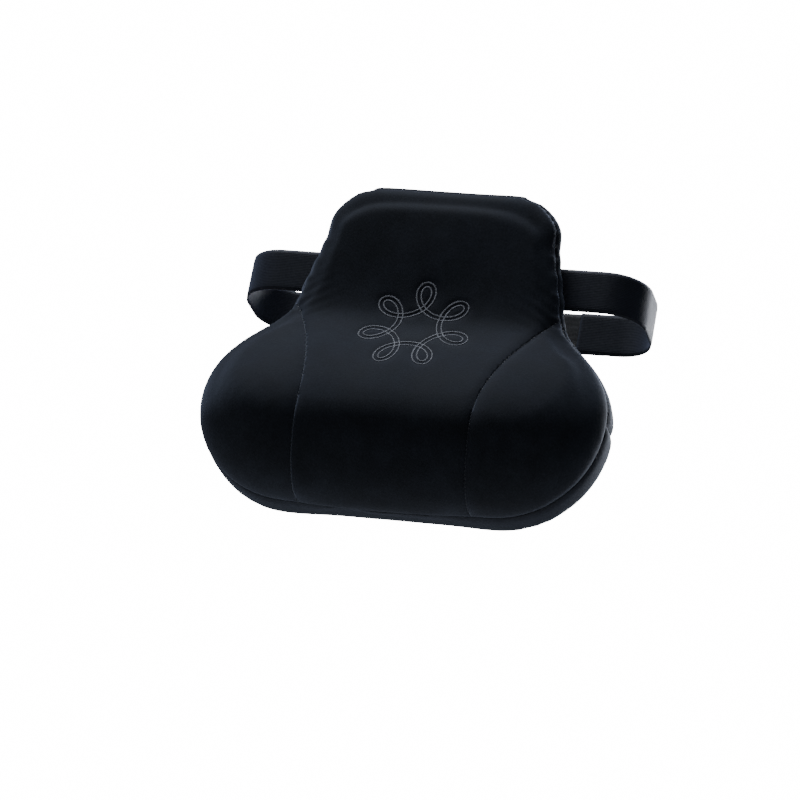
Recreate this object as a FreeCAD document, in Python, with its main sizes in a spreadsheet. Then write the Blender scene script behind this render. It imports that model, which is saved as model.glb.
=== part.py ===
"""A head and neck cushion that straps round the top of a chair's backrest.

The frame: +Z up, front towards -Y, back face on y = 0. The origin is the middle of the back face at
the height of the strap. Sizes are in millimetres.
"""
import FreeCAD, Part
import math
import os
from FreeCAD import Placement, Rotation, Vector

DIMENSIONS = [
    # the stuffed outline, seen from the front
    ("roll_half_width", 175.0, "half the width over the roll's two ends"),
    ("roll_radius", 88.0, "radius of the roll's rounded ends"),
    ("overall_height", 305.0, "lower edge to top edge"),
    ("strap_height", 226.0, "strap centre line above the lower edge"),
    ("waist_half_width", 119.0, "half the width where the neck meets the roll"),
    ("waist_height", 192.0, "height of the waist above the lower edge"),
    ("shoulder_radius", 62.0, "hollow curve between the roll and the neck"),
    ("top_half_width", 104.0, "half the width at the start of the top corners"),
    ("corner_radius", 46.0, "rounding of the two top corners"),
    # the stuffed depth, seen from the side
    ("gusset_low", 38.0, "edge strip width round the roll"),
    ("gusset_high", 20.0, "edge strip width round the neck"),
    ("crown_low", 54.0, "how far the roll bulges beyond its edge strip"),
    ("crown_high", 9.0, "how far the neck bulges beyond its edge strip"),
    ("crest_height", 64.0, "height of the roll's foremost line"),
    ("flat_half_width", 90.0, "half the width of the roll's level middle"),
    # layers, outside to inside
    ("cover_cloth", 2.5, "thickness of the velour cover with its backing"),
    ("liner_gap", 5.0, "depth of the liner's outside below the cover's"),
    ("liner_cloth", 0.8, "thickness of the liner"),
    ("foam_gap", 6.3, "depth of the foam's surface below the cover's"),
    # seams of the cover
    ("seam_half_width", 74.0, "half the width of the centre panel over the roll"),
    ("cross_seam_height", 92.0, "where the upper and lower edge strips meet"),
    # embroidery
    ("emblem_half_width", 50.0, "half the width of the embroidery"),
    ("emblem_height", 162.0, "embroidery centre above the lower edge"),
    ("emblem_proud", 0.9, "how far the thread stands out of the cloth"),
    # zip, a number 5 coil
    ("zip_height", 62.0, "zip centre line above the lower edge"),
    ("zip_half_length", 118.0, "half the length of the zip chain"),
    ("zip_slot", 13.0, "gap between the back panels that shows the zip"),
    ("zip_tape_width", 14.0, "width of each tape"),
    ("zip_tape", 0.6, "thickness of each tape"),
    ("coil_width", 2.6, "width of each row of coil"),
    ("coil_depth", 2.0, "thickness of the coil"),
    ("coil_offset", 0.8, "each row's distance from the zip's centre line"),
    # strap loop round the backrest
    ("strap_width", 38.0, "width of elastic and webbing"),
    ("loop_half_width", 176.5, "half the width of the strap loop"),
    ("loop_depth", 89.35, "back run of the elastic behind the back face"),
    ("loop_radius", 34.0, "bend of the strap round the backrest's edges"),
    ("elastic", 1.8, "thickness of the elastic"),
    ("webbing", 1.3, "thickness of the webbing"),
    ("elastic_start", 95.0, "inner end of each elastic before the edge seam trims it"),
    ("elastic_end", 105.0, "where each elastic ends behind the backrest"),
    ("webbing_start", 130.0, "where each webbing is sewn to its elastic"),
    ("webbing_depth", 91.0, "webbing centre line behind the back face"),
    ("fold_pitch", 4.9, "distance between the two layers at a buckle bar"),
    ("layer_pitch", 1.8, "distance between the two layers away from a bar"),
    # side-release buckle
    ("buckle_width", 46.0, "height of the buckle across the strap"),
    ("buckle_depth", 12.0, "thickness of the buckle"),
    ("housing_mouth", 6.0, "where the housing opens"),
    ("housing_length", 37.7, "housing without its web lug"),
    ("lug_length", 9.0, "length of a web lug"),
    ("lug_thickness", 3.0, "thickness of a web lug"),
    ("web_slot", 5.0, "length of a web slot"),
    ("cavity_width", 36.0, "inside of the housing across the strap"),
    ("cavity_depth", 7.0, "inside of the housing through its thickness"),
    ("arm_depth", 6.4, "thickness of a latch arm"),
    ("plug_depth", 9.0, "thickness of the plug's grip"),
    ("tongue_depth", 5.0, "thickness of the plug's guide tongue"),
    # adjuster
    ("triglide_place", -82.0, "adjuster centre along the back run"),
    ("triglide_length", 24.0, "adjuster along the strap"),
    ("triglide_bar", 2.0, "thickness of the adjuster's bars"),
]

EASE = 0.25             # share of the slope that is rounded at each end
LEVELS_ON_ROLL = 7      # loft sections between the lower edge and the crest
LEVELS_ABOVE = 10       # loft sections between the crest and the top
MARGIN = 20.0           # how far a cutting tool reaches past what it cuts
CLEAR = 0.3             # running clearance between pieces that move

doc = FreeCAD.newDocument("StrapCushion")
sheet = doc.addObject("Spreadsheet::Sheet", "Sizes")
sheet.set("A1", "name")
sheet.set("B1", "mm")
sheet.set("C1", "meaning")
for row, (alias, value, meaning) in enumerate(DIMENSIONS, start=2):
    sheet.set(f"A{row}", alias)
    sheet.set(f"B{row}", str(value))
    sheet.set(f"C{row}", meaning)
    sheet.setAlias(f"B{row}", alias)
doc.recompute()

kept = []               # the objects that are written out, one node each


def mm(alias):
    """The value of one driving dimension."""
    return float(sheet.get(alias))


def keep(item, label):
    """Names an object as one node of the assembly."""
    item.Label = label
    kept.append(item)
    return item


# ---------------------------------------------------------------- shared builders


def feature(name, shape):
    """A plain feature with a shape made by Part's own functions."""
    item = doc.addObject("Part::Feature", name)
    item.Shape = shape
    return item


def cut(name, base, tool):
    item = doc.addObject("Part::Cut", name)
    item.Base = base
    item.Tool = tool
    return item


def common(name, base, tool):
    item = doc.addObject("Part::Common", name)
    item.Base = base
    item.Tool = tool
    return item


def box(name, low, high):
    """A Part::Box between two corners."""
    item = doc.addObject("Part::Box", name)
    item.Length = high.x - low.x
    item.Width = high.y - low.y
    item.Height = high.z - low.z
    item.Placement = Placement(low, Rotation())
    return item


def new_body(label):
    return doc.addObject("PartDesign::Body", label)


def kept_body(label):
    return keep(new_body(label), label)


def sketch(body, role, edges, offset=0.0):
    """A sketch of these edges on one of the body's own origin planes."""
    plane = next(f for f in body.Origin.OriginFeatures if f.Role == role)
    item = body.newObject("Sketcher::SketchObject", body.Label + "_sketch")
    item.AttachmentSupport = [(plane, "")]
    item.MapMode = "FlatFace"
    item.AttachmentOffset = Placement(Vector(0, 0, offset), Rotation())
    item.addGeometry(edges, False)
    return item


def pad(body, profile, length):
    """A pad to both sides of the profile. The length is an expression of the sheet's sizes."""
    item = body.newObject("PartDesign::Pad", body.Label + "_pad")
    item.Profile = profile
    item.SideType = "Symmetric"
    item.setExpression("Length", length)
    doc.recompute()
    return item


def pocket(body, profile, length):
    """A pocket to both sides of the profile, which has to take material away."""
    before = body.Shape.Volume
    item = body.newObject("PartDesign::Pocket", body.Label + "_pocket")
    item.Profile = profile
    item.SideType = "Symmetric"
    item.setExpression("Length", length)
    doc.recompute()
    if body.Shape.Volume > before - 1.0:
        raise RuntimeError(f"{body.Label}: a pocket cut nothing")
    return item


def closed(points):
    """Straight edges through the points and back to the first."""
    corners = [Vector(a, b, 0) for a, b in points]
    return [Part.LineSegment(p, q) for p, q in zip(corners, corners[1:] + corners[:1])]


def rounded(left, right, low, high, radius):
    """The edges of a rectangle with rounded corners."""
    centres = [
        (right - radius, high - radius, 0.0),
        (left + radius, high - radius, 90.0),
        (left + radius, low + radius, 180.0),
        (right - radius, low + radius, 270.0),
    ]
    arcs = []
    for a, b, start in centres:
        spots = []
        for turn in (0.0, 45.0, 90.0):
            angle = math.radians(start + turn)
            spots.append(Vector(a + radius * math.cos(angle), b + radius * math.sin(angle), 0))
        arcs.append(Part.Arc(*spots))
    edges = []
    for arc, following in zip(arcs, arcs[1:] + arcs[:1]):
        edges.append(arc)
        edges.append(Part.LineSegment(arc.EndPoint, following.StartPoint))
    return edges


# ---------------------------------------------------------------- the stuffed shape


class Outline:
    """Half of the front outline: roll end, hollow shoulder, leaning neck edge, top corner.

    Every arc keeps its centre when the outline is inset, so an inset is a change of radii.
    """

    def __init__(self):
        self.roll_centre = (mm("roll_half_width") - mm("roll_radius"), mm("roll_radius"))
        lean_across = mm("waist_half_width") - mm("top_half_width")
        lean_up = mm("overall_height") - mm("corner_radius") - mm("waist_height")
        lean = math.hypot(lean_across, lean_up)
        self.out = (lean_up / lean, lean_across / lean)     # outward from the neck edge
        radius = mm("shoulder_radius")
        reach = mm("roll_radius") + radius
        self.shoulder_centre = self._shoulder(radius, reach)
        self.corner_centre = (
            mm("top_half_width") - mm("corner_radius") * self.out[0],
            mm("overall_height") - mm("corner_radius"),
        )

    def _shoulder(self, radius, reach):
        """The centre that touches the roll end and the neck edge from outside."""
        across, up = self.out
        edge = across * mm("waist_half_width") + up * mm("waist_height") + radius
        along = (-up, across)
        start = (across * edge, up * edge)
        from_roll = (start[0] - self.roll_centre[0], start[1] - self.roll_centre[1])
        half_b = from_roll[0] * along[0] + from_roll[1] * along[1]
        rest = from_roll[0] ** 2 + from_roll[1] ** 2 - reach**2
        step = -half_b + math.sqrt(half_b**2 - rest)
        return (start[0] + step * along[0], start[1] + step * along[1])

    def half_width(self, level, inset):
        """Half the width at a height above the lower edge."""
        roll = mm("roll_radius") - inset
        shoulder = mm("shoulder_radius") + inset
        corner = mm("corner_radius") - inset
        share = roll / (mm("roll_radius") + mm("shoulder_radius"))
        rise = self.shoulder_centre[1] - self.roll_centre[1]
        turn_out = self.roll_centre[1] + share * rise
        turn_up = self.shoulder_centre[1] - shoulder * self.out[1]
        turn_in = self.corner_centre[1] + corner * self.out[1]
        if level <= turn_out:
            side = self._reach(roll, level - self.roll_centre[1])
            return self.roll_centre[0] + side
        if level <= turn_up:
            side = self._reach(shoulder, level - self.shoulder_centre[1])
            return self.shoulder_centre[0] - side
        if level <= turn_in:
            edge = self.out[0] * mm("waist_half_width") + self.out[1] * mm("waist_height") - inset
            return (edge - self.out[1] * level) / self.out[0]
        return self.corner_centre[0] + self._reach(corner, level - self.corner_centre[1])

    @staticmethod
    def _reach(radius, rise):
        return math.sqrt(max(radius**2 - rise**2, 0.0))


outline = Outline()


def fade(level):
    """0 over the roll, 1 over the neck: an even slope between, eased at both ends."""
    share = (level - mm("crest_height")) / (mm("waist_height") - mm("crest_height"))
    share = min(max(share, 0.0), 1.0)
    if share < EASE:
        climbed = share**2 / (2.0 * EASE)
    elif share < 1.0 - EASE:
        climbed = share - 0.5 * EASE
    else:
        climbed = 1.0 - EASE - (1.0 - share) ** 2 / (2.0 * EASE)
    return climbed / (1.0 - EASE)


def gusset_at(level):
    return mm("gusset_low") + fade(level) * (mm("gusset_high") - mm("gusset_low"))


def crown_at(level):
    """How far the front bulges beyond the edge strip at a height above the lower edge."""
    crown = mm("crown_low") + fade(level) * (mm("crown_high") - mm("crown_low"))
    below = max(mm("crest_height") - level, 0.0) / mm("crest_height")
    above = max(level - mm("overall_height") + mm("corner_radius"), 0.0) / mm("corner_radius")
    return crown * math.sqrt(max(1.0 - below**2, 0.0) * max(1.0 - 0.8 * above**2, 0.0)) + 1.0


def section(level, inset, rear):
    """The closed section of the stuffed shape at a height above the lower edge."""
    z = level - mm("strap_height")
    side = outline.half_width(level, inset)
    edge = -gusset_at(level)
    front = edge - max(crown_at(level) - inset, 0.8)
    flat = side * mm("flat_half_width") / mm("roll_half_width")
    ends = []
    for sign in (1.0, -1.0):
        ellipse = Part.Ellipse(Vector(sign * flat, edge, z), side - flat, edge - front)
        if edge - front > side - flat:
            raise RuntimeError("the crown is deeper than it is wide")
        ends.append(ellipse)
    back_left = Vector(-side, rear, z)
    back_right = Vector(side, rear, z)
    edge_right = Vector(side, edge, z)
    edge_left = Vector(-side, edge, z)
    front_right = Vector(flat, front, z)
    front_left = Vector(-flat, front, z)
    right_end = Part.ArcOfEllipse(ends[0], 1.5 * math.pi, 2.0 * math.pi).toShape()
    left_end = Part.ArcOfEllipse(ends[1], math.pi, 1.5 * math.pi).toShape()
    return Part.Wire([
        Part.LineSegment(back_left, back_right).toShape(),
        Part.LineSegment(back_right, edge_right).toShape(),
        right_end,
        Part.LineSegment(front_right, front_left).toShape(),
        left_end,
        Part.LineSegment(edge_left, back_left).toShape(),
    ])


def levels(inset):
    """Heights of the loft sections: closer together where the outline turns fastest."""
    crest = mm("crest_height")
    low = [
        inset + (crest - inset) * (1.0 - math.cos(0.5 * math.pi * step / LEVELS_ON_ROLL))
        for step in range(LEVELS_ON_ROLL)
    ]
    top = mm("overall_height") - inset
    high = [
        crest + (top - crest) * math.sin(0.5 * math.pi * step / LEVELS_ABOVE)
        for step in range(LEVELS_ABOVE + 1)
    ]
    return low + high


def stuffed(name, inset, rear):
    """The whole stuffed shape, shrunk by an inset, with its back face at a given depth."""
    sections = [section(level, inset, rear) for level in levels(inset)]
    return feature(name, Part.makeLoft(sections, True, False))


outside = stuffed("outside", 0.0, 0.0)
cover_inside = stuffed("cover_inside", mm("cover_cloth"), -mm("cover_cloth"))
liner_outside = stuffed("liner_outside", mm("liner_gap"), -mm("liner_gap"))
liner_wall = mm("liner_gap") + mm("liner_cloth")
liner_inside = stuffed("liner_inside", liner_wall, -liner_wall)


# ---------------------------------------------------------------- cover, liner and foam

low_z = -mm("strap_height") - MARGIN
high_z = mm("overall_height") - mm("strap_height") + MARGIN
far_x = mm("roll_half_width") + MARGIN
far_y = mm("gusset_low") + mm("crown_low") + MARGIN


def edge_zone():
    """Everything behind the front seam: a profile in Y and Z, as deep as the edge strip."""
    spots = []
    count = 12
    for step in range(count + 1):
        level = mm("crest_height") + (mm("waist_height") - mm("crest_height")) * step / count
        spots.append(Vector(-far_x, -gusset_at(level), level - mm("strap_height")))
    curve = Part.BSplineCurve()
    curve.interpolate(spots)
    low_front = Vector(-far_x, -mm("gusset_low"), low_z)
    high_front = Vector(-far_x, -mm("gusset_high"), high_z)
    low_back = Vector(-far_x, MARGIN, low_z)
    high_back = Vector(-far_x, MARGIN, high_z)
    profile = Part.Wire([
        Part.LineSegment(low_back, low_front).toShape(),
        Part.LineSegment(low_front, spots[0]).toShape(),
        curve.toShape(),
        Part.LineSegment(spots[-1], high_front).toShape(),
        Part.LineSegment(high_front, high_back).toShape(),
        Part.LineSegment(high_back, low_back).toShape(),
    ])
    return feature("edge_zone", Part.Face(profile).extrude(Vector(2.0 * far_x, 0, 0)))


def centre_zone():
    """The centre panel seen from the front: all of the neck, and the middle of the roll.

    Each side seam runs straight up the roll and then curves out to the waist in one arc.
    """
    seam = mm("seam_half_width")
    out = outline.half_width(mm("waist_height"), 0.0) - seam
    rise = mm("waist_height") - mm("crest_height")
    radius = (out**2 + rise**2) / (2.0 * out)
    half = 0.5 * math.asin(rise / radius)
    crest_z = mm("crest_height") - mm("strap_height")
    waist_z = mm("waist_height") - mm("strap_height")
    edges = []
    for sign in (1.0, -1.0):
        low = Vector(sign * seam, MARGIN, low_z)
        crest = Vector(sign * seam, MARGIN, crest_z)
        middle_x = sign * (seam + radius * (1.0 - math.cos(half)))
        middle = Vector(middle_x, MARGIN, crest_z + radius * math.sin(half))
        waist = Vector(sign * (seam + out), MARGIN, waist_z)
        side = Vector(sign * far_x, MARGIN, waist_z)
        high = Vector(sign * far_x, MARGIN, high_z)
        edges.append([
            Part.LineSegment(low, crest).toShape(),
            Part.Arc(crest, middle, waist).toShape(),
            Part.LineSegment(waist, side).toShape(),
            Part.LineSegment(side, high).toShape(),
        ])
    right, left = edges
    across_low = Part.LineSegment(Vector(-seam, MARGIN, low_z), Vector(seam, MARGIN, low_z))
    across_high = Part.LineSegment(Vector(far_x, MARGIN, high_z), Vector(-far_x, MARGIN, high_z))
    loop = [across_low.toShape()] + right + [across_high.toShape()] + left[::-1]
    profile = Part.Wire(Part.__sortEdges__(loop))
    depth = far_y + MARGIN
    return feature("centre_zone", Part.Face(profile).extrude(Vector(0, -depth, 0)))


cover = cut("cover", outside, cover_inside)
behind_seam = edge_zone()
front_skin = cut("front_skin", cover, behind_seam)
middle = centre_zone()
keep(common("front_centre", front_skin, middle), "front_centre_panel")
cheeks = cut("cheeks", front_skin, middle)
for cheek_label, near, far in (
    ("cheek_panel_left", -far_x, 0.0),
    ("cheek_panel_right", 0.0, far_x),
):
    half_space = box(cheek_label + "_side", Vector(near, -far_y, low_z), Vector(far, 0, high_z))
    keep(common(cheek_label, cheeks, half_space), cheek_label)

rim = common("rim", cover, behind_seam)
cross_z = mm("cross_seam_height") - mm("strap_height")
edge_back = -mm("cover_cloth")
upper_space = box("upper_space", Vector(-far_x, -far_y, cross_z), Vector(far_x, edge_back, high_z))
lower_space = box("lower_space", Vector(-far_x, -far_y, low_z), Vector(far_x, edge_back, cross_z))
keep(common("gusset_top", rim, upper_space), "gusset_upper")
keep(common("gusset_base", rim, lower_space), "gusset_lower")

zip_z = mm("zip_height") - mm("strap_height")
half_slot = 0.5 * mm("zip_slot")
zip_end = mm("zip_half_length")
outside_deep = stuffed("outside_deep", 0.0, MARGIN)
back_skin_space = box("back_space", Vector(-far_x, edge_back, low_z), Vector(far_x, 0, high_z))
back_skin = common("back_skin", outside_deep, back_skin_space)
slot_tool = box(
    "zip_slot_tool",
    Vector(-zip_end, edge_back - 1.0, zip_z - half_slot),
    Vector(zip_end, 1.0, zip_z + half_slot),
)
back_open = cut("back_open", back_skin, slot_tool)
above_zip = box("above_zip", Vector(-far_x, -far_y, zip_z), Vector(far_x, MARGIN, high_z))
below_zip = box("below_zip", Vector(-far_x, -far_y, low_z), Vector(far_x, MARGIN, zip_z))
keep(common("back_high", back_open, above_zip), "back_panel_upper")
keep(common("back_low", back_open, below_zip), "back_panel_lower")

liner = cut("liner", liner_outside, liner_inside)
liner_split = -mm("gusset_high")
liner_back_space = box("liner_rear", Vector(-far_x, liner_split, low_z), Vector(far_x, 0, high_z))
keep(cut("liner_fore", liner, liner_back_space), "liner_front")
keep(common("liner_aft", liner, liner_back_space), "liner_back")
keep(stuffed("foam", mm("foam_gap"), -mm("foam_gap")), "foam_core")


# ---------------------------------------------------------------- embroidery


def emblem_prism(name, half_width):
    """A round prism that reaches through the front at the embroidery's place."""
    item = doc.addObject("Part::Cylinder", name)
    item.Radius = half_width
    item.Height = far_y
    centre = Vector(0, -mm("gusset_high"), mm("emblem_height") - mm("strap_height"))
    item.Placement = Placement(centre, Rotation(Vector(1, 0, 0), 90))
    return item


thread_outside = stuffed("thread_outside", -mm("emblem_proud"), mm("emblem_proud"))
thread_layer = cut("thread_layer", thread_outside, outside)
thread_prism = emblem_prism("thread_prism", mm("emblem_half_width"))
keep(common("embroidery", thread_layer, thread_prism), "emblem_embroidery")
BACKING_CLOTH = 0.7     # thickness of the stabiliser behind the embroidery
BACKING_BORDER = 6.0    # how far the stabiliser reaches past the embroidery
backing_wall = mm("cover_cloth") + BACKING_CLOTH
backing_inside = stuffed("backing_inside", backing_wall, -backing_wall)
backing_layer = cut("backing_layer", cover_inside, backing_inside)
backing_prism = emblem_prism("backing_prism", mm("emblem_half_width") + BACKING_BORDER)
keep(common("backing", backing_layer, backing_prism), "emblem_backing")


# ---------------------------------------------------------------- zip

tape_y = edge_back - CLEAR - mm("zip_tape")
coil_y = tape_y + mm("zip_tape")
TAPE_OVERRUN = 6.0      # tape beyond the end of the slot
for row, side in (("upper", 1.0), ("lower", -1.0)):
    tape = kept_body(f"zip_tape_{row}")
    near = zip_z + side * mm("coil_offset")
    far = near + side * mm("zip_tape_width")
    tape_edges = rounded(
        -zip_end - TAPE_OVERRUN, zip_end + TAPE_OVERRUN, min(near, far), max(near, far), 1.0
    )
    pad(tape, sketch(tape, "XZ_Plane", tape_edges, -(tape_y + 0.5 * mm("zip_tape"))), "Sizes.zip_tape")

    coil = kept_body(f"zip_coil_{row}")
    outer = near + side * mm("coil_width")
    coil_edges = rounded(
        coil_y, coil_y + mm("coil_depth"), min(near, outer), max(near, outer), 0.8
    )
    pad(coil, sketch(coil, "YZ_Plane", coil_edges), "2 * (Sizes.zip_half_length - 2)")

STOP_LENGTH = 3.0
stop_y = coil_y + mm("coil_depth")
stops = []
for side in (1.0, -1.0):
    near = zip_z + side * mm("coil_offset")
    far = near + side * (mm("coil_width") + 0.6)
    low = Vector(zip_end - 2.0 - STOP_LENGTH, stop_y, min(near, far))
    high = Vector(zip_end - 2.0, stop_y + 0.5, max(near, far))
    stops.append(Part.makeBox(high.x - low.x, high.y - low.y, high.z - low.z, low))
keep(feature("stops_at_top", Part.makeCompound(stops)), "zip_top_stops")
reach = mm("coil_offset") + mm("coil_width")
keep(
    box(
        "stop_at_bottom",
        Vector(-zip_end + 2.0, stop_y, zip_z - reach),
        Vector(-zip_end + 2.0 + STOP_LENGTH, stop_y + 0.5, zip_z + reach),
    ),
    "zip_bottom_stop",
)

SLIDER_HALF_LENGTH = 5.5
SLIDER_HALF_WIDTH = 4.6
SLIDER_PLATE = 1.1
slider_x = zip_end - 2.0 - STOP_LENGTH - CLEAR - SLIDER_HALF_LENGTH
top_plate = stop_y + CLEAR
low_plate = tape_y - CLEAR - SLIDER_PLATE
BRIDGE_RISE = 3.4
BRIDGE_BAR = 1.0
BRIDGE_HALF_LENGTH = 4.0
BRIDGE_WIDTH = 2.6


def slider_shape():
    """Two plates joined by a post that runs between the rows of coil, and a bridge for the pull."""
    long = 2.0 * SLIDER_HALF_LENGTH
    wide = 2.0 * SLIDER_HALF_WIDTH
    low = Vector(slider_x - SLIDER_HALF_LENGTH, top_plate, zip_z - SLIDER_HALF_WIDTH)
    upper = Part.makeBox(long, SLIDER_PLATE, wide, low)
    lower = upper.translated(Vector(0, low_plate - top_plate, 0))
    plates = []
    for plate in (upper, lower):
        corners = [e for e in plate.Edges if abs(e.tangentAt(e.FirstParameter).y) > 0.9]
        plates.append(plate.makeFillet(2.0, corners))
    post_width = 2.0 * (mm("coil_offset") - CLEAR)
    post_low = Vector(slider_x - SLIDER_HALF_LENGTH + 1.5, low_plate, zip_z - 0.5 * post_width)
    post = Part.makeBox(3.5, top_plate - low_plate + 0.5, post_width, post_low)
    face = top_plate + SLIDER_PLATE
    arch_low = Vector(slider_x - BRIDGE_HALF_LENGTH, face - 0.3, zip_z - 0.5 * BRIDGE_WIDTH)
    arch = Part.makeBox(2.0 * BRIDGE_HALF_LENGTH, BRIDGE_RISE + 0.3, BRIDGE_WIDTH, arch_low)
    shoulders = [
        e for e in arch.Edges
        if abs(e.tangentAt(e.FirstParameter).z) > 0.9 and e.CenterOfMass.y > face + 1.0
    ]
    arch = arch.makeFillet(1.4, shoulders)
    tunnel_low = arch_low + Vector(BRIDGE_BAR, 0.3, -1.0)
    tunnel_length = 2.0 * (BRIDGE_HALF_LENGTH - BRIDGE_BAR)
    tunnel = Part.makeBox(tunnel_length, BRIDGE_RISE - BRIDGE_BAR, BRIDGE_WIDTH + 2.0, tunnel_low)
    return plates[0].fuse([plates[1], post, arch.cut(tunnel)]).removeSplitter()


keep(feature("slider", slider_shape()), "zip_slider")

PULL_PIN_RADIUS = 0.7
PULL_HALF_WIDTH = 3.4
PULL_LENGTH = 26.0
PULL_THICKNESS = 1.2
pull_pin_y = top_plate + SLIDER_PLATE + 0.5 * (BRIDGE_RISE - BRIDGE_BAR)


def pull_shape():
    """A flat tab with a window at its root, whose cross pin sits in the slider's bridge.

    It is made pointing at the zip's end and mirrored, so that at rest it lies over the coil.
    """
    pin_base = Vector(slider_x, pull_pin_y, zip_z - PULL_HALF_WIDTH)
    pin = Part.makeCylinder(PULL_PIN_RADIUS, 2.0 * PULL_HALF_WIDTH, pin_base, Vector(0, 0, 1))
    tab_low = Vector(slider_x, pull_pin_y - 0.5 * PULL_THICKNESS, zip_z - PULL_HALF_WIDTH)
    tab = Part.makeBox(PULL_LENGTH, PULL_THICKNESS, 2.0 * PULL_HALF_WIDTH, tab_low)
    end_corners = [
        e for e in tab.Edges
        if abs(e.tangentAt(e.FirstParameter).y) > 0.9 and e.CenterOfMass.x > slider_x + 1.0
    ]
    tab = tab.makeFillet(2.2, end_corners)
    half_window = 0.5 * BRIDGE_WIDTH + CLEAR
    window_low = tab_low + Vector(-1.0, -1.0, PULL_HALF_WIDTH - half_window)
    window_length = BRIDGE_HALF_LENGTH + 1.6
    window = Part.makeBox(window_length + 1.0, PULL_THICKNESS + 2.0, 2.0 * half_window, window_low)
    hole_base = Vector(slider_x + PULL_LENGTH - 4.5, pull_pin_y - 2.0, zip_z)
    hole = Part.makeCylinder(1.5, 4.0, hole_base, Vector(0, 1, 0))
    outward = tab.cut(window).cut(hole).fuse(pin).removeSplitter()
    return outward.mirror(Vector(slider_x, 0, 0), Vector(1, 0, 0))


keep(feature("pull", pull_shape()), "zip_pull")


# ---------------------------------------------------------------- strap loop


def ribbon(spots, radii, thickness):
    """The edges of a flat strap seen on edge: runs through the spots, with bends of these radii."""
    half = 0.5 * thickness
    runs = [Vector(a, b, 0) for a, b in spots]
    near_side, far_side = [], []
    start = runs[0]
    for index, radius in enumerate(radii, start=1):
        into = (runs[index] - start).normalize()
        away = (runs[index + 1] - runs[index]).normalize()
        turn = math.acos(max(-1.0, min(1.0, into.dot(away))))
        side = 1.0 if into.cross(away).z > 0 else -1.0
        trim = radius * math.tan(0.5 * turn)
        begin = runs[index] - into * trim
        finish = runs[index] + away * trim
        normal = Vector(-into.y, into.x, 0)
        centre = begin + normal * (side * radius)
        toward = (runs[index] - centre).normalize()
        leave = Vector(-away.y, away.x, 0)
        for edges, shift in ((near_side, half), (far_side, -half)):
            bend = radius - side * shift
            first = begin + normal * shift
            last = finish + leave * shift
            edges.append(Part.LineSegment(start + normal * shift, first))
            edges.append(Part.Arc(first, centre + toward * bend, last))
        start = finish
    last_run = (runs[-1] - start).normalize()
    normal = Vector(-last_run.y, last_run.x, 0)
    first_run = (runs[1] - runs[0]).normalize()
    first_normal = Vector(-first_run.y, first_run.x, 0)
    for edges, shift in ((near_side, half), (far_side, -half)):
        edges.append(Part.LineSegment(start + normal * shift, runs[-1] + normal * shift))
    caps = [
        Part.LineSegment(runs[-1] + normal * half, runs[-1] - normal * half),
        Part.LineSegment(runs[0] - first_normal * half, runs[0] + first_normal * half),
    ]
    return near_side + caps[:1] + far_side[::-1] + caps[1:]


def strap(label, spots, radii, thickness):
    """A flat strap as one body: its edge view in the XY plane, padded to the strap's width."""
    body = new_body(label)
    pad(body, sketch(body, "XY_Plane", ribbon(spots, radii, thickness)), "Sizes.strap_width")
    return body


front_y = -0.5 * mm("elastic")
mouth = mm("housing_mouth")
housing_end = mouth - mm("housing_length")
PLUG_GAP = 0.5
PLUG_BLOCK = 7.0
plug_start = mouth + PLUG_GAP
plug_end = plug_start + PLUG_BLOCK
buckle_y = mm("webbing_depth") + 0.5 * mm("layer_pitch")
fold = 0.5 * mm("fold_pitch")
bend = mm("loop_radius")
SPREAD_START = 10.0     # where the layers begin to part, before the bar's lug
GENTLE = 12.0           # bend radius where a layer changes its line
BAR_REST = 0.3          # where in its slot the webbing's fold lies, as a share of the slot
LEFT_TAIL = -118.0
RIGHT_TAIL = 78.0

for side, label in ((-1.0, "elastic_left"), (1.0, "elastic_right")):
    wide = side * mm("loop_half_width")
    route = [
        (side * mm("elastic_start"), front_y),
        (wide, front_y),
        (wide, mm("loop_depth")),
        (side * mm("elastic_end"), mm("loop_depth")),
    ]
    untrimmed = strap(label + "_untrimmed", route, [bend, bend], mm("elastic"))
    keep(cut(label + "_trimmed", untrimmed, outside_deep), label)


def webbing_route(side, lug, tail):
    """Along the back of the backrest, round the bar of a buckle lug, and back to the tail."""
    turn = lug + side * -BAR_REST * mm("web_slot")
    apart = lug + side * (0.5 * mm("lug_length") + 1.5)
    together = apart + side * SPREAD_START
    lower = mm("webbing_depth")
    upper = lower + mm("layer_pitch")
    return [
        (side * mm("webbing_start"), lower),
        (together, lower),
        (apart, buckle_y - fold),
        (turn, buckle_y - fold),
        (turn, buckle_y + fold),
        (apart, buckle_y + fold),
        (together, upper),
        (tail, upper),
    ]


lug_middle_left = housing_end - 0.5 * mm("lug_length")
lug_middle_right = plug_end + 0.5 * mm("lug_length")
webbing_radii = [GENTLE, GENTLE, fold - 0.1, fold - 0.1, GENTLE, GENTLE]
left_route = webbing_route(-1.0, lug_middle_left, LEFT_TAIL)
right_route = webbing_route(1.0, lug_middle_right, RIGHT_TAIL)
keep(strap("webbing_left_strap", left_route, webbing_radii, mm("webbing")), "webbing_left")
keep(strap("webbing_right_strap", right_route, webbing_radii, mm("webbing")), "webbing_right")


# ---------------------------------------------------------------- side-release buckle

half_width = 0.5 * mm("buckle_width")
BAR_WIDTH = 2.6
SLOT_MARGIN = 2.6
HEAD_NEAR = -14.5       # latch shoulder
HEAD_STEP = 4.5         # flat of the latch head before its slope
ARM_TIP = -26.0
ARM_INNER = 12.6
ARM_OUTER = 15.8
ARM_ROOT = plug_start - 0.6
at_buckle = Placement(Vector(0, buckle_y, 0), Rotation())


def lug_slot(low, high):
    """The slot that webbing passes through, seen from the front."""
    return rounded(low, high, -half_width + SLOT_MARGIN, half_width - SLOT_MARGIN, 1.2)


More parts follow.
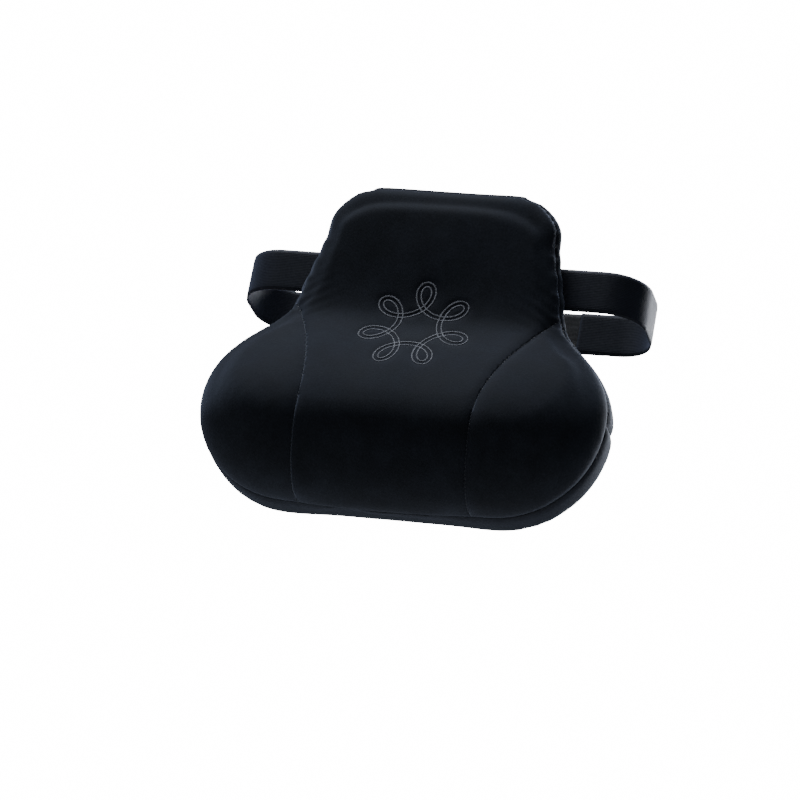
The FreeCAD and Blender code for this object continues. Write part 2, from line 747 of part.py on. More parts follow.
housing = kept_body("buckle_housing")
shell_edges = rounded(housing_end, mouth, -half_width, half_width, 4.0)
pad(housing, sketch(housing, "XZ_Plane", shell_edges), "Sizes.buckle_depth")
lug_edges = rounded(housing_end - mm("lug_length"), housing_end + 4.0, -half_width, half_width, 2.0)
pad(housing, sketch(housing, "XZ_Plane", lug_edges), "Sizes.lug_thickness")
slot_low = housing_end - mm("lug_length") + BAR_WIDTH
slot_edges = lug_slot(slot_low, slot_low + mm("web_slot"))
pocket(housing, sketch(housing, "XZ_Plane", slot_edges), "Sizes.buckle_depth")
half_cavity = 0.5 * mm("cavity_width")
cavity_edges = closed([
    (ARM_TIP - 3.0, -half_cavity),
    (mouth + 2.0, -half_cavity),
    (mouth + 2.0, half_cavity),
    (ARM_TIP - 3.0, half_cavity),
])
pocket(housing, sketch(housing, "XZ_Plane", cavity_edges), "Sizes.cavity_depth")
for side in (1.0, -1.0):
    window_edges = closed([
        (ARM_TIP - 0.5, side * (half_cavity - 0.5)),
        (HEAD_NEAR + CLEAR, side * (half_cavity - 0.5)),
        (HEAD_NEAR + CLEAR, side * (half_width + 1.0)),
        (ARM_TIP - 0.5, side * (half_width + 1.0)),
    ])
    pocket(housing, sketch(housing, "XZ_Plane", window_edges), "Sizes.buckle_depth + 2")
housing.Placement = at_buckle

plug = kept_body("buckle_plug")
block_edges = rounded(plug_start, plug_end + 3.0, -half_width, half_width, 2.5)
pad(plug, sketch(plug, "XZ_Plane", block_edges), "Sizes.plug_depth")
plug_lug_edges = rounded(plug_end - 2.0, plug_end + mm("lug_length"), -half_width, half_width, 2.0)
pad(plug, sketch(plug, "XZ_Plane", plug_lug_edges), "Sizes.lug_thickness")
TONGUE_HALF_WIDTH = 3.5
tongue_edges = rounded(ARM_TIP + 4.0, plug_start + 3.0, -TONGUE_HALF_WIDTH, TONGUE_HALF_WIDTH, 1.5)
pad(plug, sketch(plug, "XZ_Plane", tongue_edges), "Sizes.tongue_depth")
slot_high = plug_end + mm("lug_length") - BAR_WIDTH
plug_slot_edges = lug_slot(slot_high - mm("web_slot"), slot_high)
pocket(plug, sketch(plug, "XZ_Plane", plug_slot_edges), "Sizes.buckle_depth")
plug.Placement = at_buckle

for side, label in ((1.0, "latch_arm_upper"), (-1.0, "latch_arm_lower")):
    arm = kept_body(label)
    arm_edges = closed([
        (ARM_ROOT, side * ARM_INNER),
        (ARM_ROOT, side * ARM_OUTER),
        (HEAD_NEAR, side * (ARM_OUTER + 0.4)),
        (HEAD_NEAR, side * (half_width - 0.4)),
        (HEAD_NEAR - HEAD_STEP, side * (half_width - 0.4)),
        (ARM_TIP, side * ARM_OUTER),
        (ARM_TIP, side * ARM_INNER),
    ])
    pad(arm, sketch(arm, "XZ_Plane", arm_edges), "Sizes.arm_depth")
    arm.Placement = at_buckle


# ---------------------------------------------------------------- adjuster


def triglide_shape():
    """Two end rails joined by two bars behind the webbing and one bar in front of it."""
    bar = mm("triglide_bar")
    length = mm("triglide_length")
    half_strap = 0.5 * mm("strap_width")
    rail = 2.4
    inner = mm("webbing_depth") - 0.5 * mm("webbing") - CLEAR
    outer = mm("webbing_depth") + mm("layer_pitch") + 0.5 * mm("webbing") + CLEAR
    low_x = mm("triglide_place") - 0.5 * length
    high = half_strap + CLEAR + rail
    pieces = []
    for rail_low in (half_strap + CLEAR, -high):
        corner = Vector(low_x, inner - bar, rail_low)
        pieces.append(Part.makeBox(length, outer - inner + 2.0 * bar, rail, corner))
    bar_width = 4.0
    for place, depth in (
        (low_x, outer),
        (low_x + length - bar_width, outer),
        (low_x + 0.5 * (length - bar_width), inner - bar),
    ):
        pieces.append(Part.makeBox(bar_width, bar, 2.0 * high, Vector(place, depth, -high)))
    return pieces[0].fuse(pieces[1:]).removeSplitter()


keep(feature("adjuster", triglide_shape()), "triglide")


# ---------------------------------------------------------------- check and write

doc.recompute()
for item in doc.Objects:
    if "Invalid" in item.State or "Error" in item.State:
        raise RuntimeError(f"{item.Label} failed: {item.State}")
os.makedirs("parts", exist_ok=True)
for item in kept:
    shape = item.Shape
    if shape.isNull() or not shape.isValid():
        raise RuntimeError(f"{item.Label} has no valid shape")
    if not shape.Solids:
        raise RuntimeError(f"{item.Label} has no solid")
    shape.exportStep(os.path.join("parts", item.Label + ".step"))
    centre = shape.BoundBox
    print(
        f"{item.Label:22s} {len(shape.Solids)} solid, {shape.Volume / 1000:9.2f} cm3, "
        f"x {centre.XMin:7.1f} {centre.XMax:7.1f}  y {centre.YMin:7.1f} {centre.YMax:6.1f}  "
        f"z {centre.ZMin:7.1f} {centre.ZMax:6.1f}"
    )
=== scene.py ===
"""Strap-on head and neck cushion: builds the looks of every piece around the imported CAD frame.

The file is laid out as an add-on and run as a script. All lengths are in metres, +Z up, the
cushion's front towards -Y and its back face on y = 0.
"""

import math

import bmesh
import bpy
import numpy as np
from bpy.props import FloatProperty, FloatVectorProperty, IntProperty, PointerProperty
from mathutils import Matrix, Vector
from mathutils.bvhtree import BVHTree
from mathutils.kdtree import KDTree


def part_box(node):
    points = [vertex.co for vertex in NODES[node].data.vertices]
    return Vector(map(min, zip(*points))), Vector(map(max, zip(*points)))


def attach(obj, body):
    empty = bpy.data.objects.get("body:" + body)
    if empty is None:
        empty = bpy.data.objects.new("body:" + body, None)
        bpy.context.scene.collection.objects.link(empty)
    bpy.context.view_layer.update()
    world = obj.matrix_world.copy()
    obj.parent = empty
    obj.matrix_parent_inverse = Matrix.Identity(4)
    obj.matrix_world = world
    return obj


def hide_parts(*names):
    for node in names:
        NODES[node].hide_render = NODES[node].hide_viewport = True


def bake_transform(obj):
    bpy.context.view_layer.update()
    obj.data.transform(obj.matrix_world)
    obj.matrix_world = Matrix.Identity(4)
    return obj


bl_info = {
    "name": "Strap Cushion",
    "version": (1, 0, 0),
    "blender": (4, 5, 0),
    "location": "View3D > Sidebar > Cushion",
    "description": "Builds a velour head and neck cushion with its strap, buckle and zip",
    "category": "Object",
}

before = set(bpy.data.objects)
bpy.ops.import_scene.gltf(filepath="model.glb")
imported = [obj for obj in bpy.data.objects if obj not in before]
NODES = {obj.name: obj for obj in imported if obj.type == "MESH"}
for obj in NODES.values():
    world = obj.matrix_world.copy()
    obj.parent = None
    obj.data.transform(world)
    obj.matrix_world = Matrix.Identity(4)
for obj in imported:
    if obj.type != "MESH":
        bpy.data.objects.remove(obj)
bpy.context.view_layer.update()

MM = 0.001
ROOT = "cushion"            # the body that everything soft rides on
UP_ATTRIBUTE = "up"         # the surface direction kept along a path of stitches


def span(node, axis):
    """A node's lowest and highest value along one axis."""
    low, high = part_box(node)
    return low[axis], high[axis]


LOWER_EDGE = span("front_centre_panel", 2)[0]
WAIST = span("cheek_panel_right", 2)[1]
CROSS_SEAM = span("gusset_upper", 2)[0]
SEAM_HALF_WIDTH = span("cheek_panel_right", 0)[0]
WAIST_HALF_WIDTH = span("front_centre_panel", 0)[1]
GUSSET_LOW = -span("gusset_lower", 1)[0]
GUSSET_HIGH = -span("liner_back", 1)[0]
ZIP_LEVEL = 0.5 * (span("zip_coil_upper", 2)[0] + span("zip_coil_lower", 2)[1])
BACKING_LOW, BACKING_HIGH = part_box("emblem_backing")


# ------------------------------------------------------------------ settings


class CushionSettings(bpy.types.PropertyGroup):
    """Sizes and colours of the stuffed cushion and its cover."""

    voxel: FloatProperty(
        name="Voxel", description="Grid of the cloth before it is stuffed",
        default=4.5 * MM, min=3 * MM, max=8 * MM, unit="LENGTH",
    )
    foam_gap: FloatProperty(
        name="Foam Gap", description="How far the cloth starts outside the foam",
        default=5.6 * MM, min=0.0, max=8 * MM, unit="LENGTH",
    )
    least_gap: FloatProperty(
        name="Least Gap", description="The nearest that the cloth lies to the foam",
        default=6.0 * MM, min=0.0, max=8 * MM, unit="LENGTH",
    )
    most_gap: FloatProperty(
        name="Most Gap", description="The furthest that the cloth lies from the foam",
        default=9.5 * MM, min=4 * MM, max=16 * MM, unit="LENGTH",
    )
    pressure: FloatProperty(
        name="Pressure", description="How hard the stuffing presses on the cloth",
        default=4.0, min=0.0, max=20.0,
    )
    swell: FloatProperty(
        name="Swell", description="The furthest that stuffing moves the cloth",
        default=7 * MM, min=0.0, max=20 * MM, unit="LENGTH",
    )
    frames: IntProperty(
        name="Frames", description="Steps of the cloth simulation", default=20, min=1, max=60,
    )
    crest: FloatProperty(
        name="Crest", description="Height of the roll's foremost line above the lower edge",
        default=64 * MM, unit="LENGTH",
    )
    ease: FloatProperty(
        name="Ease", description="Share of the slope that is rounded at each end",
        default=0.25, min=0.05, max=0.5, subtype="FACTOR",
    )
    cloth: FloatProperty(
        name="Cloth", description="Thickness of the velour cover",
        default=2.0 * MM, min=0.5 * MM, max=4 * MM, unit="LENGTH",
    )
    seam_depth: FloatProperty(
        name="Seam Depth", description="How far a seam pulls the cloth in",
        default=2.0 * MM, min=0.0, max=5 * MM, unit="LENGTH",
    )
    seam_reach: FloatProperty(
        name="Seam Reach", description="How far from a seam the cloth is pulled in",
        default=4.0 * MM, min=1 * MM, max=12 * MM, unit="LENGTH",
    )
    velour_colour: FloatVectorProperty(
        name="Velour", description="Colour of the pile", subtype="COLOR", size=3,
        default=(0.0105, 0.0125, 0.0175), min=0.0, max=1.0,
    )
    back_colour: FloatVectorProperty(
        name="Back Cloth", description="Colour of the knitted back", subtype="COLOR", size=3,
        default=(0.011, 0.0115, 0.0135), min=0.0, max=1.0,
    )
    foam_colour: FloatVectorProperty(
        name="Foam", description="Colour of the foam block", subtype="COLOR", size=3,
        default=(0.62, 0.60, 0.52), min=0.0, max=1.0,
    )
    liner_colour: FloatVectorProperty(
        name="Liner", description="Colour of the thin knitted liner", subtype="COLOR", size=3,
        default=(0.70, 0.70, 0.68), min=0.0, max=1.0,
    )


class EmblemSettings(bpy.types.PropertyGroup):
    """The embroidered rosette on the slope."""

    petals: IntProperty(
        name="Petals", description="Loops of the rosette", default=7, min=3, max=16,
    )
    loop_share: FloatProperty(
        name="Loop Share", description="Size of each loop as a share of the rosette",
        default=0.42, min=0.1, max=0.6, subtype="FACTOR",
    )
    band: FloatProperty(
        name="Band", description="Distance between the two lines of the band",
        default=4.0 * MM, min=1 * MM, max=8 * MM, unit="LENGTH",
    )
    line: FloatProperty(
        name="Line", description="Width of one embroidered line",
        default=1.5 * MM, min=0.4 * MM, max=3 * MM, unit="LENGTH",
    )
    dimple: FloatProperty(
        name="Dimple", description="How far the embroidery pulls the pile down",
        default=0.9 * MM, min=0.0, max=3 * MM, unit="LENGTH",
    )
    thread: FloatProperty(
        name="Thread", description="Thickness of the embroidery thread",
        default=0.34 * MM, min=0.1 * MM, max=1 * MM, unit="LENGTH",
    )
    colour: FloatVectorProperty(
        name="Thread Colour", description="Colour of the embroidery", subtype="COLOR", size=3,
        default=(0.36, 0.375, 0.41), min=0.0, max=1.0,
    )


class StrapSettings(bpy.types.PropertyGroup):
    """The elastic, the webbing and their stitches."""

    bend: FloatProperty(
        name="Bend", description="Radius of the strap round the backrest's edges",
        default=34 * MM, min=10 * MM, max=60 * MM, unit="LENGTH",
    )
    elastic: FloatProperty(
        name="Elastic", description="Thickness of the elastic", default=1.7 * MM, unit="LENGTH",
    )
    webbing: FloatProperty(
        name="Webbing", description="Thickness of the webbing", default=1.25 * MM, unit="LENGTH",
    )
    stitch: FloatProperty(
        name="Stitch", description="Length of one stitch", default=2.6 * MM, unit="LENGTH",
    )
    elastic_colour: FloatVectorProperty(
        name="Elastic Colour", description="Colour of the elastic", subtype="COLOR", size=3,
        default=(0.0065, 0.0085, 0.016), min=0.0, max=1.0,
    )
    webbing_colour: FloatVectorProperty(
        name="Webbing Colour", description="Colour of the webbing", subtype="COLOR", size=3,
        default=(0.0075, 0.0078, 0.0092), min=0.0, max=1.0,
    )


class HardwareSettings(bpy.types.PropertyGroup):
    """The zip, the buckle and the adjuster."""

    tooth_pitch: FloatProperty(
        name="Tooth Pitch", description="Distance from one coil turn to the next",
        default=1.32 * MM, min=0.8 * MM, max=3 * MM, unit="LENGTH",
    )
    edge: FloatProperty(
        name="Edge", description="Rounding of moulded edges",
        default=0.45 * MM, min=0.1 * MM, max=1.5 * MM, unit="LENGTH",
    )
    plastic_colour: FloatVectorProperty(
        name="Plastic", description="Colour of the moulded plastic", subtype="COLOR", size=3,
        default=(0.0125, 0.0125, 0.0135), min=0.0, max=1.0,
    )
    enamel_colour: FloatVectorProperty(
        name="Enamel", description="Colour of the zip's enamelled metal", subtype="COLOR", size=3,
        default=(0.014, 0.014, 0.015), min=0.0, max=1.0,
    )


class StageSettings(bpy.types.PropertyGroup):
    """Camera, lights and floor."""

    azimuth: FloatProperty(name="Azimuth", description="Camera's turn", default=16.66)
    elevation: FloatProperty(name="Elevation", description="Camera's height angle", default=-21.26)
    roll: FloatProperty(name="Roll", description="Camera's roll", default=-10.75)
    distance: FloatProperty(
        name="Distance", description="Camera to cushion", default=3.28, unit="LENGTH",
    )
    scale: FloatProperty(
        name="Scale", description="Width of the view at the cushion", default=0.6667, unit="LENGTH",
    )
    floor: FloatProperty(
        name="Floor", description="Height of the floor", default=-1.45, unit="LENGTH",
    )


def settings(part):
    """One group of settings of the scene."""
    return getattr(bpy.context.scene, "cushion_" + part)


# ------------------------------------------------------------------ node helpers


class Shader:
    """A short way to write a Principled material node by node."""

    def __init__(self, name, base, **sockets):
        self.material = bpy.data.materials.new(name)
        self.material.use_nodes = True
        self.tree = self.material.node_tree
        self.surface = self.tree.nodes["Principled BSDF"]
        self.surface.inputs["Base Color"].default_value = (*base, 1.0)
        self.material.diffuse_color = (*base, 1.0)
        for socket, value in sockets.items():
            self.surface.inputs[socket.replace("_", " ")].default_value = value

    def node(self, kind, inputs=None, **settings_of_node):
        made = self.tree.nodes.new("ShaderNode" + kind)
        for name, value in settings_of_node.items():
            setattr(made, name, value)
        for name, value in (inputs or {}).items():
            self.feed(made.inputs[name], value)
        return made

    def feed(self, socket, value):
        if isinstance(value, bpy.types.NodeSocket):
            self.tree.links.new(value, socket)
        elif isinstance(value, tuple) and len(value) == 3 and socket.type == "RGBA":
            socket.default_value = (*value, 1.0)
        else:
            socket.default_value = value

    def place(self, scale=(1, 1, 1), source="Object"):
        """Coordinates on the piece, scaled to the pattern."""
        coordinates = self.node("TexCoord")
        mapping = self.node("Mapping", {"Vector": coordinates.outputs[source]})
        mapping.inputs["Scale"].default_value = scale
        return mapping.outputs["Vector"]

    def noise(self, where, scale, detail=3.0, rough=0.5):
        made = self.node("TexNoise", {"Vector": where, "Scale": scale, "Detail": detail})
        made.inputs["Roughness"].default_value = rough
        return made.outputs["Fac"]

    def math(self, operation, first, second=0.0, clamp=False):
        made = self.node("Math", operation=operation, use_clamp=clamp)
        self.feed(made.inputs[0], first)
        self.feed(made.inputs[1], second)
        return made.outputs[0]

    def mixed(self, first, first_share, second, second_share, clamp=False):
        """Two patterns added together, each in its share."""
        return self.math(
            "ADD", self.math("MULTIPLY", first, first_share),
            self.math("MULTIPLY", second, second_share), clamp=clamp,
        )

    def ramp(self, factor, stops):
        """A colour ramp: (position, colour) pairs."""
        made = self.node("ValToRGB", {"Fac": factor})
        elements = made.color_ramp.elements
        while len(elements) < len(stops):
            elements.new(1.0)
        for element, (position, colour) in zip(elements, stops):
            element.position = position
            element.color = (*colour, 1.0)
        return made.outputs["Color"]

    def level(self, factor, low, high):
        """The factor, 0 to 1, as a value from low to high."""
        made = self.node("MapRange", {"Value": factor, "To Min": low, "To Max": high})
        return made.outputs["Result"]

    def bump(self, height, strength, distance, after=None):
        made = self.node("Bump", {"Height": height, "Strength": strength, "Distance": distance})
        if after is not None:
            self.tree.links.new(after, made.inputs["Normal"])
        self.tree.links.new(made.outputs["Normal"], self.surface.inputs["Normal"])
        return made.outputs["Normal"]

    def to(self, socket, value):
        self.tree.links.new(value, self.surface.inputs[socket])


def shade(colour, factor):
    """The colour, lighter or darker."""
    return tuple(min(part * factor, 1.0) for part in colour)


# ------------------------------------------------------------------ materials


def velour_material():
    """Short dense pile: nap that lies this way and that, a soft sheen and a fine grain."""
    colour = tuple(settings("cover").velour_colour)
    made = Shader(
        "velour", colour, Roughness=0.85, Sheen_Weight=0.32, Sheen_Roughness=0.45,
        Specular_IOR_Level=0.18,
    )
    made.surface.inputs["Sheen Tint"].default_value = (0.62, 0.72, 0.95, 1.0)
    where = made.place()
    nap = made.noise(where, 14.0, detail=4.0, rough=0.55)
    cloudy = made.noise(where, 55.0, detail=3.0, rough=0.6)
    pile = made.noise(where, 1900.0, detail=2.0, rough=0.6)
    tufts = made.noise(where, 620.0, detail=3.0, rough=0.65)
    tone = made.mixed(nap, 0.55, cloudy, 0.45)
    tone = made.math("ADD", tone, made.math("MULTIPLY", made.math("SUBTRACT", tufts, 0.5), 0.55))
    made.to("Base Color", made.ramp(tone, [
        (0.30, shade(colour, 0.55)),
        (0.50, colour),
        (0.72, shade(colour, 1.75)),
    ]))
    made.to("Roughness", made.level(nap, 0.72, 0.92))
    soft = made.bump(tufts, strength=0.35, distance=0.5 * MM)
    made.bump(pile, strength=0.45, distance=0.22 * MM, after=soft)
    return made.material


def knit_material(name, colour, course, strength=0.5):
    """A smooth warp knit: rows of small loops."""
    made = Shader(name, colour, Roughness=0.86, Sheen_Weight=0.18, Specular_IOR_Level=0.2)
    where = made.place()
    rows = made.node("TexWave", {"Vector": where, "Scale": course, "Distortion": 0.6},
                     wave_type="BANDS", bands_direction="Z")
    ribs = made.node("TexWave", {"Vector": where, "Scale": course * 1.4, "Distortion": 0.4},
                     wave_type="BANDS", bands_direction="X")
    loops = made.math("MULTIPLY", rows.outputs["Fac"], ribs.outputs["Fac"])
    cloud = made.noise(where, 30.0, detail=3.0)
    tone = made.mixed(loops, 0.55, cloud, 0.45)
    made.to("Base Color", made.ramp(tone, [
        (0.15, shade(colour, 0.6)),
        (0.75, shade(colour, 1.5)),
    ]))
    fuzz = made.bump(made.noise(where, 900.0), strength=0.2, distance=0.15 * MM)
    made.bump(loops, strength=strength, distance=0.25 * MM, after=fuzz)
    return made.material


def thread_material(name, colour, gloss=0.42):
    """Twisted thread with a slight lustre."""
    made = Shader(
        name, colour, Roughness=gloss, Sheen_Weight=0.2, Specular_IOR_Level=0.5,
    )
    where = made.place()
    twist = made.noise(where, 2600.0, detail=2.0)
    drift = made.noise(where, 60.0, detail=2.0)
    tone = made.mixed(twist, 0.5, drift, 0.5)
    made.to("Base Color", made.ramp(tone, [
        (0.3, shade(colour, 0.65)),
        (0.7, shade(colour, 1.35)),
    ]))
    made.to("Roughness", made.level(drift, gloss - 0.08, gloss + 0.15))
    made.bump(twist, strength=0.3, distance=0.08 * MM)
    return made.material


def ribbed_material():
    """Woven elastic: fine cords along its length, crossed by close weft rows."""
    colour = tuple(settings("strap").elastic_colour)
    made = Shader("elastic", colour, Roughness=0.62, Sheen_Weight=0.25, Specular_IOR_Level=0.35)
    made.surface.inputs["Sheen Tint"].default_value = (0.6, 0.7, 1.0, 1.0)
    where = made.place(source="UV")
    cords = made.node("TexWave", {"Vector": where, "Scale": 210.0},
                      wave_type="BANDS", bands_direction="Y", wave_profile="SIN")
    weft = made.node("TexWave", {"Vector": where, "Scale": 330.0, "Distortion": 0.5},
                     wave_type="BANDS", bands_direction="X", wave_profile="SIN")
    weave = made.mixed(cords.outputs["Fac"], 0.6, weft.outputs["Fac"], 0.4)
    cloud = made.noise(made.place(), 45.0, detail=3.0)
    tone = made.mixed(weave, 0.6, cloud, 0.4)
    made.to("Base Color", made.ramp(tone, [
        (0.2, shade(colour, 0.45)),
        (0.8, shade(colour, 1.7)),
    ]))
    made.to("Roughness", made.level(cloud, 0.52, 0.75))
    made.bump(weave, strength=0.55, distance=0.22 * MM)
    return made.material


def webbing_material():
    """Woven polyester webbing: a herringbone of fine diagonal rows, flat at the two edges."""
    colour = tuple(settings("strap").webbing_colour)
    made = Shader("webbing", colour, Roughness=0.55, Sheen_Weight=0.15, Specular_IOR_Level=0.4)
    where = made.place(source="UV")
    split = made.node("SeparateXYZ", {"Vector": where})
    rib = made.math("PINGPONG", split.outputs["Y"], 2.4 * MM)
    slant = made.math("ADD", split.outputs["X"], made.math("MULTIPLY", rib, 1.6))
    rows = made.math("SINE", made.math("MULTIPLY", slant, 2.0 * math.pi / (1.5 * MM)))
    rows = made.math("ADD", made.math("MULTIPLY", rows, 0.5), 0.5)
    ridge = made.math("DIVIDE", rib, 2.4 * MM)
    weave = made.mixed(rows, 0.7, ridge, 0.3)
    cloud = made.noise(made.place(), 70.0, detail=3.0)
    tone = made.mixed(weave, 0.65, cloud, 0.35)
    made.to("Base Color", made.ramp(tone, [
        (0.15, shade(colour, 0.5)),
        (0.85, shade(colour, 1.8)),
    ]))
    made.to("Roughness", made.level(cloud, 0.45, 0.68))
    made.bump(weave, strength=0.6, distance=0.25 * MM)
    return made.material


def plastic_material():
    """Moulded acetal: fine sparked texture; its colour is painted lighter along convex edges, a painted
    highlight for the shine of rubbed edges, and darker in hollows, painted shade.
    """
    colour = tuple(settings("hardware").plastic_colour)
    made = Shader("buckle_plastic", colour, Roughness=0.48, Specular_IOR_Level=0.45)
    where = made.place()
    grain = made.noise(where, 2400.0, detail=2.0)
    cloud = made.noise(where, 90.0, detail=3.0)
    # Painted light: the surface's pointiness lightens the colour on convex edges as a painted highlight
    # and darkens it in hollows as painted shade.
    curvature = made.node("NewGeometry").outputs["Pointiness"]
    painted_highlight_and_shade = made.level(curvature, -1.6, 2.4)
    tone = made.mixed(cloud, 0.6, painted_highlight_and_shade, 0.4, clamp=True)
    made.to("Base Color", made.ramp(tone, [
        (0.25, shade(colour, 0.8)),
        (0.85, shade(colour, 1.9)),
    ]))
    made.to("Roughness", made.level(cloud, 0.38, 0.58))
    made.bump(grain, strength=0.28, distance=0.06 * MM)
    return made.material


def enamel_material():
    """Black enamel on zinc, scuffed bright in small streaks."""
    colour = tuple(settings("hardware").enamel_colour)
    made = Shader("zip_metal", colour, Roughness=0.3, Metallic=0.25, Specular_IOR_Level=0.6)
    where = made.place()
    scuffs = made.noise(made.place(scale=(1, 1, 5)), 420.0, detail=4.0, rough=0.7)
    cloud = made.noise(where, 260.0, detail=3.0)
    tone = made.mixed(scuffs, 0.5, cloud, 0.5)
    made.to("Base Color", made.ramp(tone, [
        (0.45, colour),
        (0.66, shade(colour, 2.6)),
        (0.80, (0.16, 0.16, 0.165)),
    ]))
    made.to("Roughness", made.level(scuffs, 0.2, 0.5))
    made.bump(scuffs, strength=0.12, distance=0.05 * MM)
    return made.material


def foam_material():
    """Slow-recovery foam: a fine open-cell surface."""
    colour = tuple(settings("cover").foam_colour)
    made = Shader("foam", colour, Roughness=0.9, Specular_IOR_Level=0.15)
    made.surface.inputs["Subsurface Weight"].default_value = 0.1
    where = made.place()
    cells = made.node("TexVoronoi", {"Vector": where, "Scale": 700.0})
    pores = cells.outputs["Distance"]
    cloud = made.noise(where, 25.0, detail=3.0)
    tone = made.mixed(pores, 0.5, cloud, 0.5)
    made.to("Base Color", made.ramp(tone, [
        (0.2, shade(colour, 0.8)),
        (0.7, shade(colour, 1.15)),
    ]))
    made.bump(pores, strength=0.5, distance=0.4 * MM)
    return made.material


MATERIALS = {}


def material(name):
    """The finished material of one slot, made the first time that it is asked for."""
    makers = {
        "velour": velour_material,
        "back_cloth": lambda: knit_material(
            "back_cloth", tuple(settings("cover").back_colour), 150.0),
        "thread": lambda: thread_material("thread", tuple(settings("emblem").colour)),
        "seam_thread": lambda: thread_material("seam_thread", (0.035, 0.038, 0.047), 0.38),
        "stabiliser": lambda: knit_material("stabiliser", (0.5, 0.5, 0.5), 90.0, 0.2),
        "liner": lambda: knit_material("liner", tuple(settings("cover").liner_colour), 120.0),
        "foam": foam_material,
        "elastic": ribbed_material,
        "webbing": webbing_material,
        "zip_tape": lambda: knit_material("zip_tape", (0.0095, 0.0097, 0.011), 260.0, 0.6),
        "zip_coil": lambda: thread_material("zip_coil", (0.014, 0.014, 0.016), 0.3),
        "zip_metal": enamel_material,
        "buckle_plastic": plastic_material,
    }
    if name not in MATERIALS:
        MATERIALS[name] = makers[name]()
    return MATERIALS[name]


def finish_piece(piece, slot, finish=None, body=ROOT, replaces=()):
    """Gives a piece its material (its finish's, else its slot's), smooth shading and its body, and
    hides the CAD nodes that it replaces.
    """
    piece.data.materials.clear()
    piece.data.materials.append(material(finish or slot))
    piece.data.polygons.foreach_set("use_smooth", [True] * len(piece.data.polygons))
    if replaces:
        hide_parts(*replaces)
    if body:
        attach(piece, body)
    return piece


def new_piece(name, vertices, faces):
    mesh = bpy.data.meshes.new(name)
    mesh.from_pydata([tuple(v) for v in vertices], [], [tuple(f) for f in faces])
    mesh.update()
    piece = bpy.data.objects.new(name, mesh)
    bpy.context.scene.collection.objects.link(piece)
    return piece


def frozen(piece):
    """Replaces a piece's mesh with its evaluated one, and drops its modifiers."""
    bpy.context.view_layer.update()
    graph = bpy.context.evaluated_depsgraph_get()
    mesh = bpy.data.meshes.new_from_object(piece.evaluated_get(graph), depsgraph=graph)
    piece.modifiers.clear()
    old = piece.data
    piece.data = mesh
    bpy.data.meshes.remove(old)
    return piece


# ------------------------------------------------------------------ the shape's rules


SEAM_FLARE = 1.2            # how fast the cheek seam goes on outwards above the waist


def fade(z):
    """0 over the roll and 1 over the neck: an even slope between, eased at both ends."""
    cover = settings("cover")
    ease = cover.ease
    crest = LOWER_EDGE + cover.crest
    share = np.clip((np.asarray(z, float) - crest) / (WAIST - crest), 0.0, 1.0)
    low = share**2 / (2 * ease)
    middle = share - 0.5 * ease
    high = 1 - ease - (1 - share) ** 2 / (2 * ease)
    climbed = np.where(share < ease, low, np.where(share < 1 - ease, middle, high))
    return climbed / (1 - ease)


def front_seam_y(z):
    """Where the front seam lies, as deep as the edge strip."""
    return -(GUSSET_LOW + fade(z) * (GUSSET_HIGH - GUSSET_LOW))


def cheek_seam_x(z):
    """Half the centre panel's width: upright over the roll, one arc out to the waist."""
    crest = LOWER_EDGE + settings("cover").crest
    out = WAIST_HALF_WIDTH - SEAM_HALF_WIDTH
    rise = WAIST - crest
    radius = (out**2 + rise**2) / (2 * out)
    up = np.clip(np.asarray(z, float) - crest, 0.0, None)
    inside = np.clip(radius**2 - np.minimum(up, radius) ** 2, 0.0, None)
    curve = SEAM_HALF_WIDTH + radius - np.sqrt(inside)
    beyond = np.clip(up - rise, 0.0, None)
    return curve + beyond * SEAM_FLARE


# ------------------------------------------------------------------ the stuffed cover


WELD = 0.01 * MM            # a CAD mesh's points that lie closer than this are one point
CUT_TOLERANCE = 0.05 * MM   # a point this near a cut is on it
FACE_GAP = 0.1 * MM         # the cover's back lies this far in front of the back face
OUTWARD_SHARE = 0.5         # of the way off the foam that has to lie along its normal
NEIGHBOURS = 14             # points that a smooth normal is taken over
SEAM_FALL = 1.3             # how sharply a seam's pull fades beside it
BACK_PULL = 0.35            # the pull of the seams at the back, as a share
FRONT_FACING = -0.3         # a normal's y on the side that is embroidered
SHORTEST_SEAM = 12          # a run of no more points than this is a stray corner of a panel
VELOUR_CLOTH = {
    "quality": 6,
    "mass": 0.3,
    "tension_stiffness": 25,
    "compression_stiffness": 25,
    "shear_stiffness": 12,
    "bending_stiffness": 1.2,
}

# The unevenness of the stuffed cloth. Heights are in millimetres, waves in radians a metre.
BROAD_WAVES = ((31.0, 1.3), (37.0, 0.4))        # wave and start, across and up
BROAD_HEIGHT = 0.5
SLANTED_WAVES = (                               # wave across, wave up, start and height
    (67.0, -52.0, 2.0, 0.25),
    (120.0, 95.0, 0.0, 0.10),
)
WAVE_SHARE = 0.55
CREASE_HEIGHT = 0.35
CREASE_WAVE = 620.0
CREASE_SLANT = 0.55         # how far the creases lean outwards
CREASE_BAND = 22 * MM       # the waist's creases fade out this far above and below it
CREASE_START = 70 * MM      # they begin this far from the middle
CREASE_RISE = 60 * MM       # and are at their full height this much further out
FLAT_BACK = 5 * MM          # the cloth is even this far in front of the back face
FLAT_FADE = 10 * MM         # and uneven to the full this much further forward


def vertices_of(piece):
    co = np.zeros(len(piece.data.vertices) * 3)
    piece.data.vertices.foreach_get("co", co)
    return co.reshape(-1, 3)


def set_vertices(piece, co):
    piece.data.vertices.foreach_set("co", np.ascontiguousarray(co, dtype=np.float32).ravel())
    piece.data.update()


def normals_of(piece):
    normals = np.zeros(len(piece.data.vertices) * 3)
    piece.data.vertices.foreach_get("normal", normals)
    return normals.reshape(-1, 3)


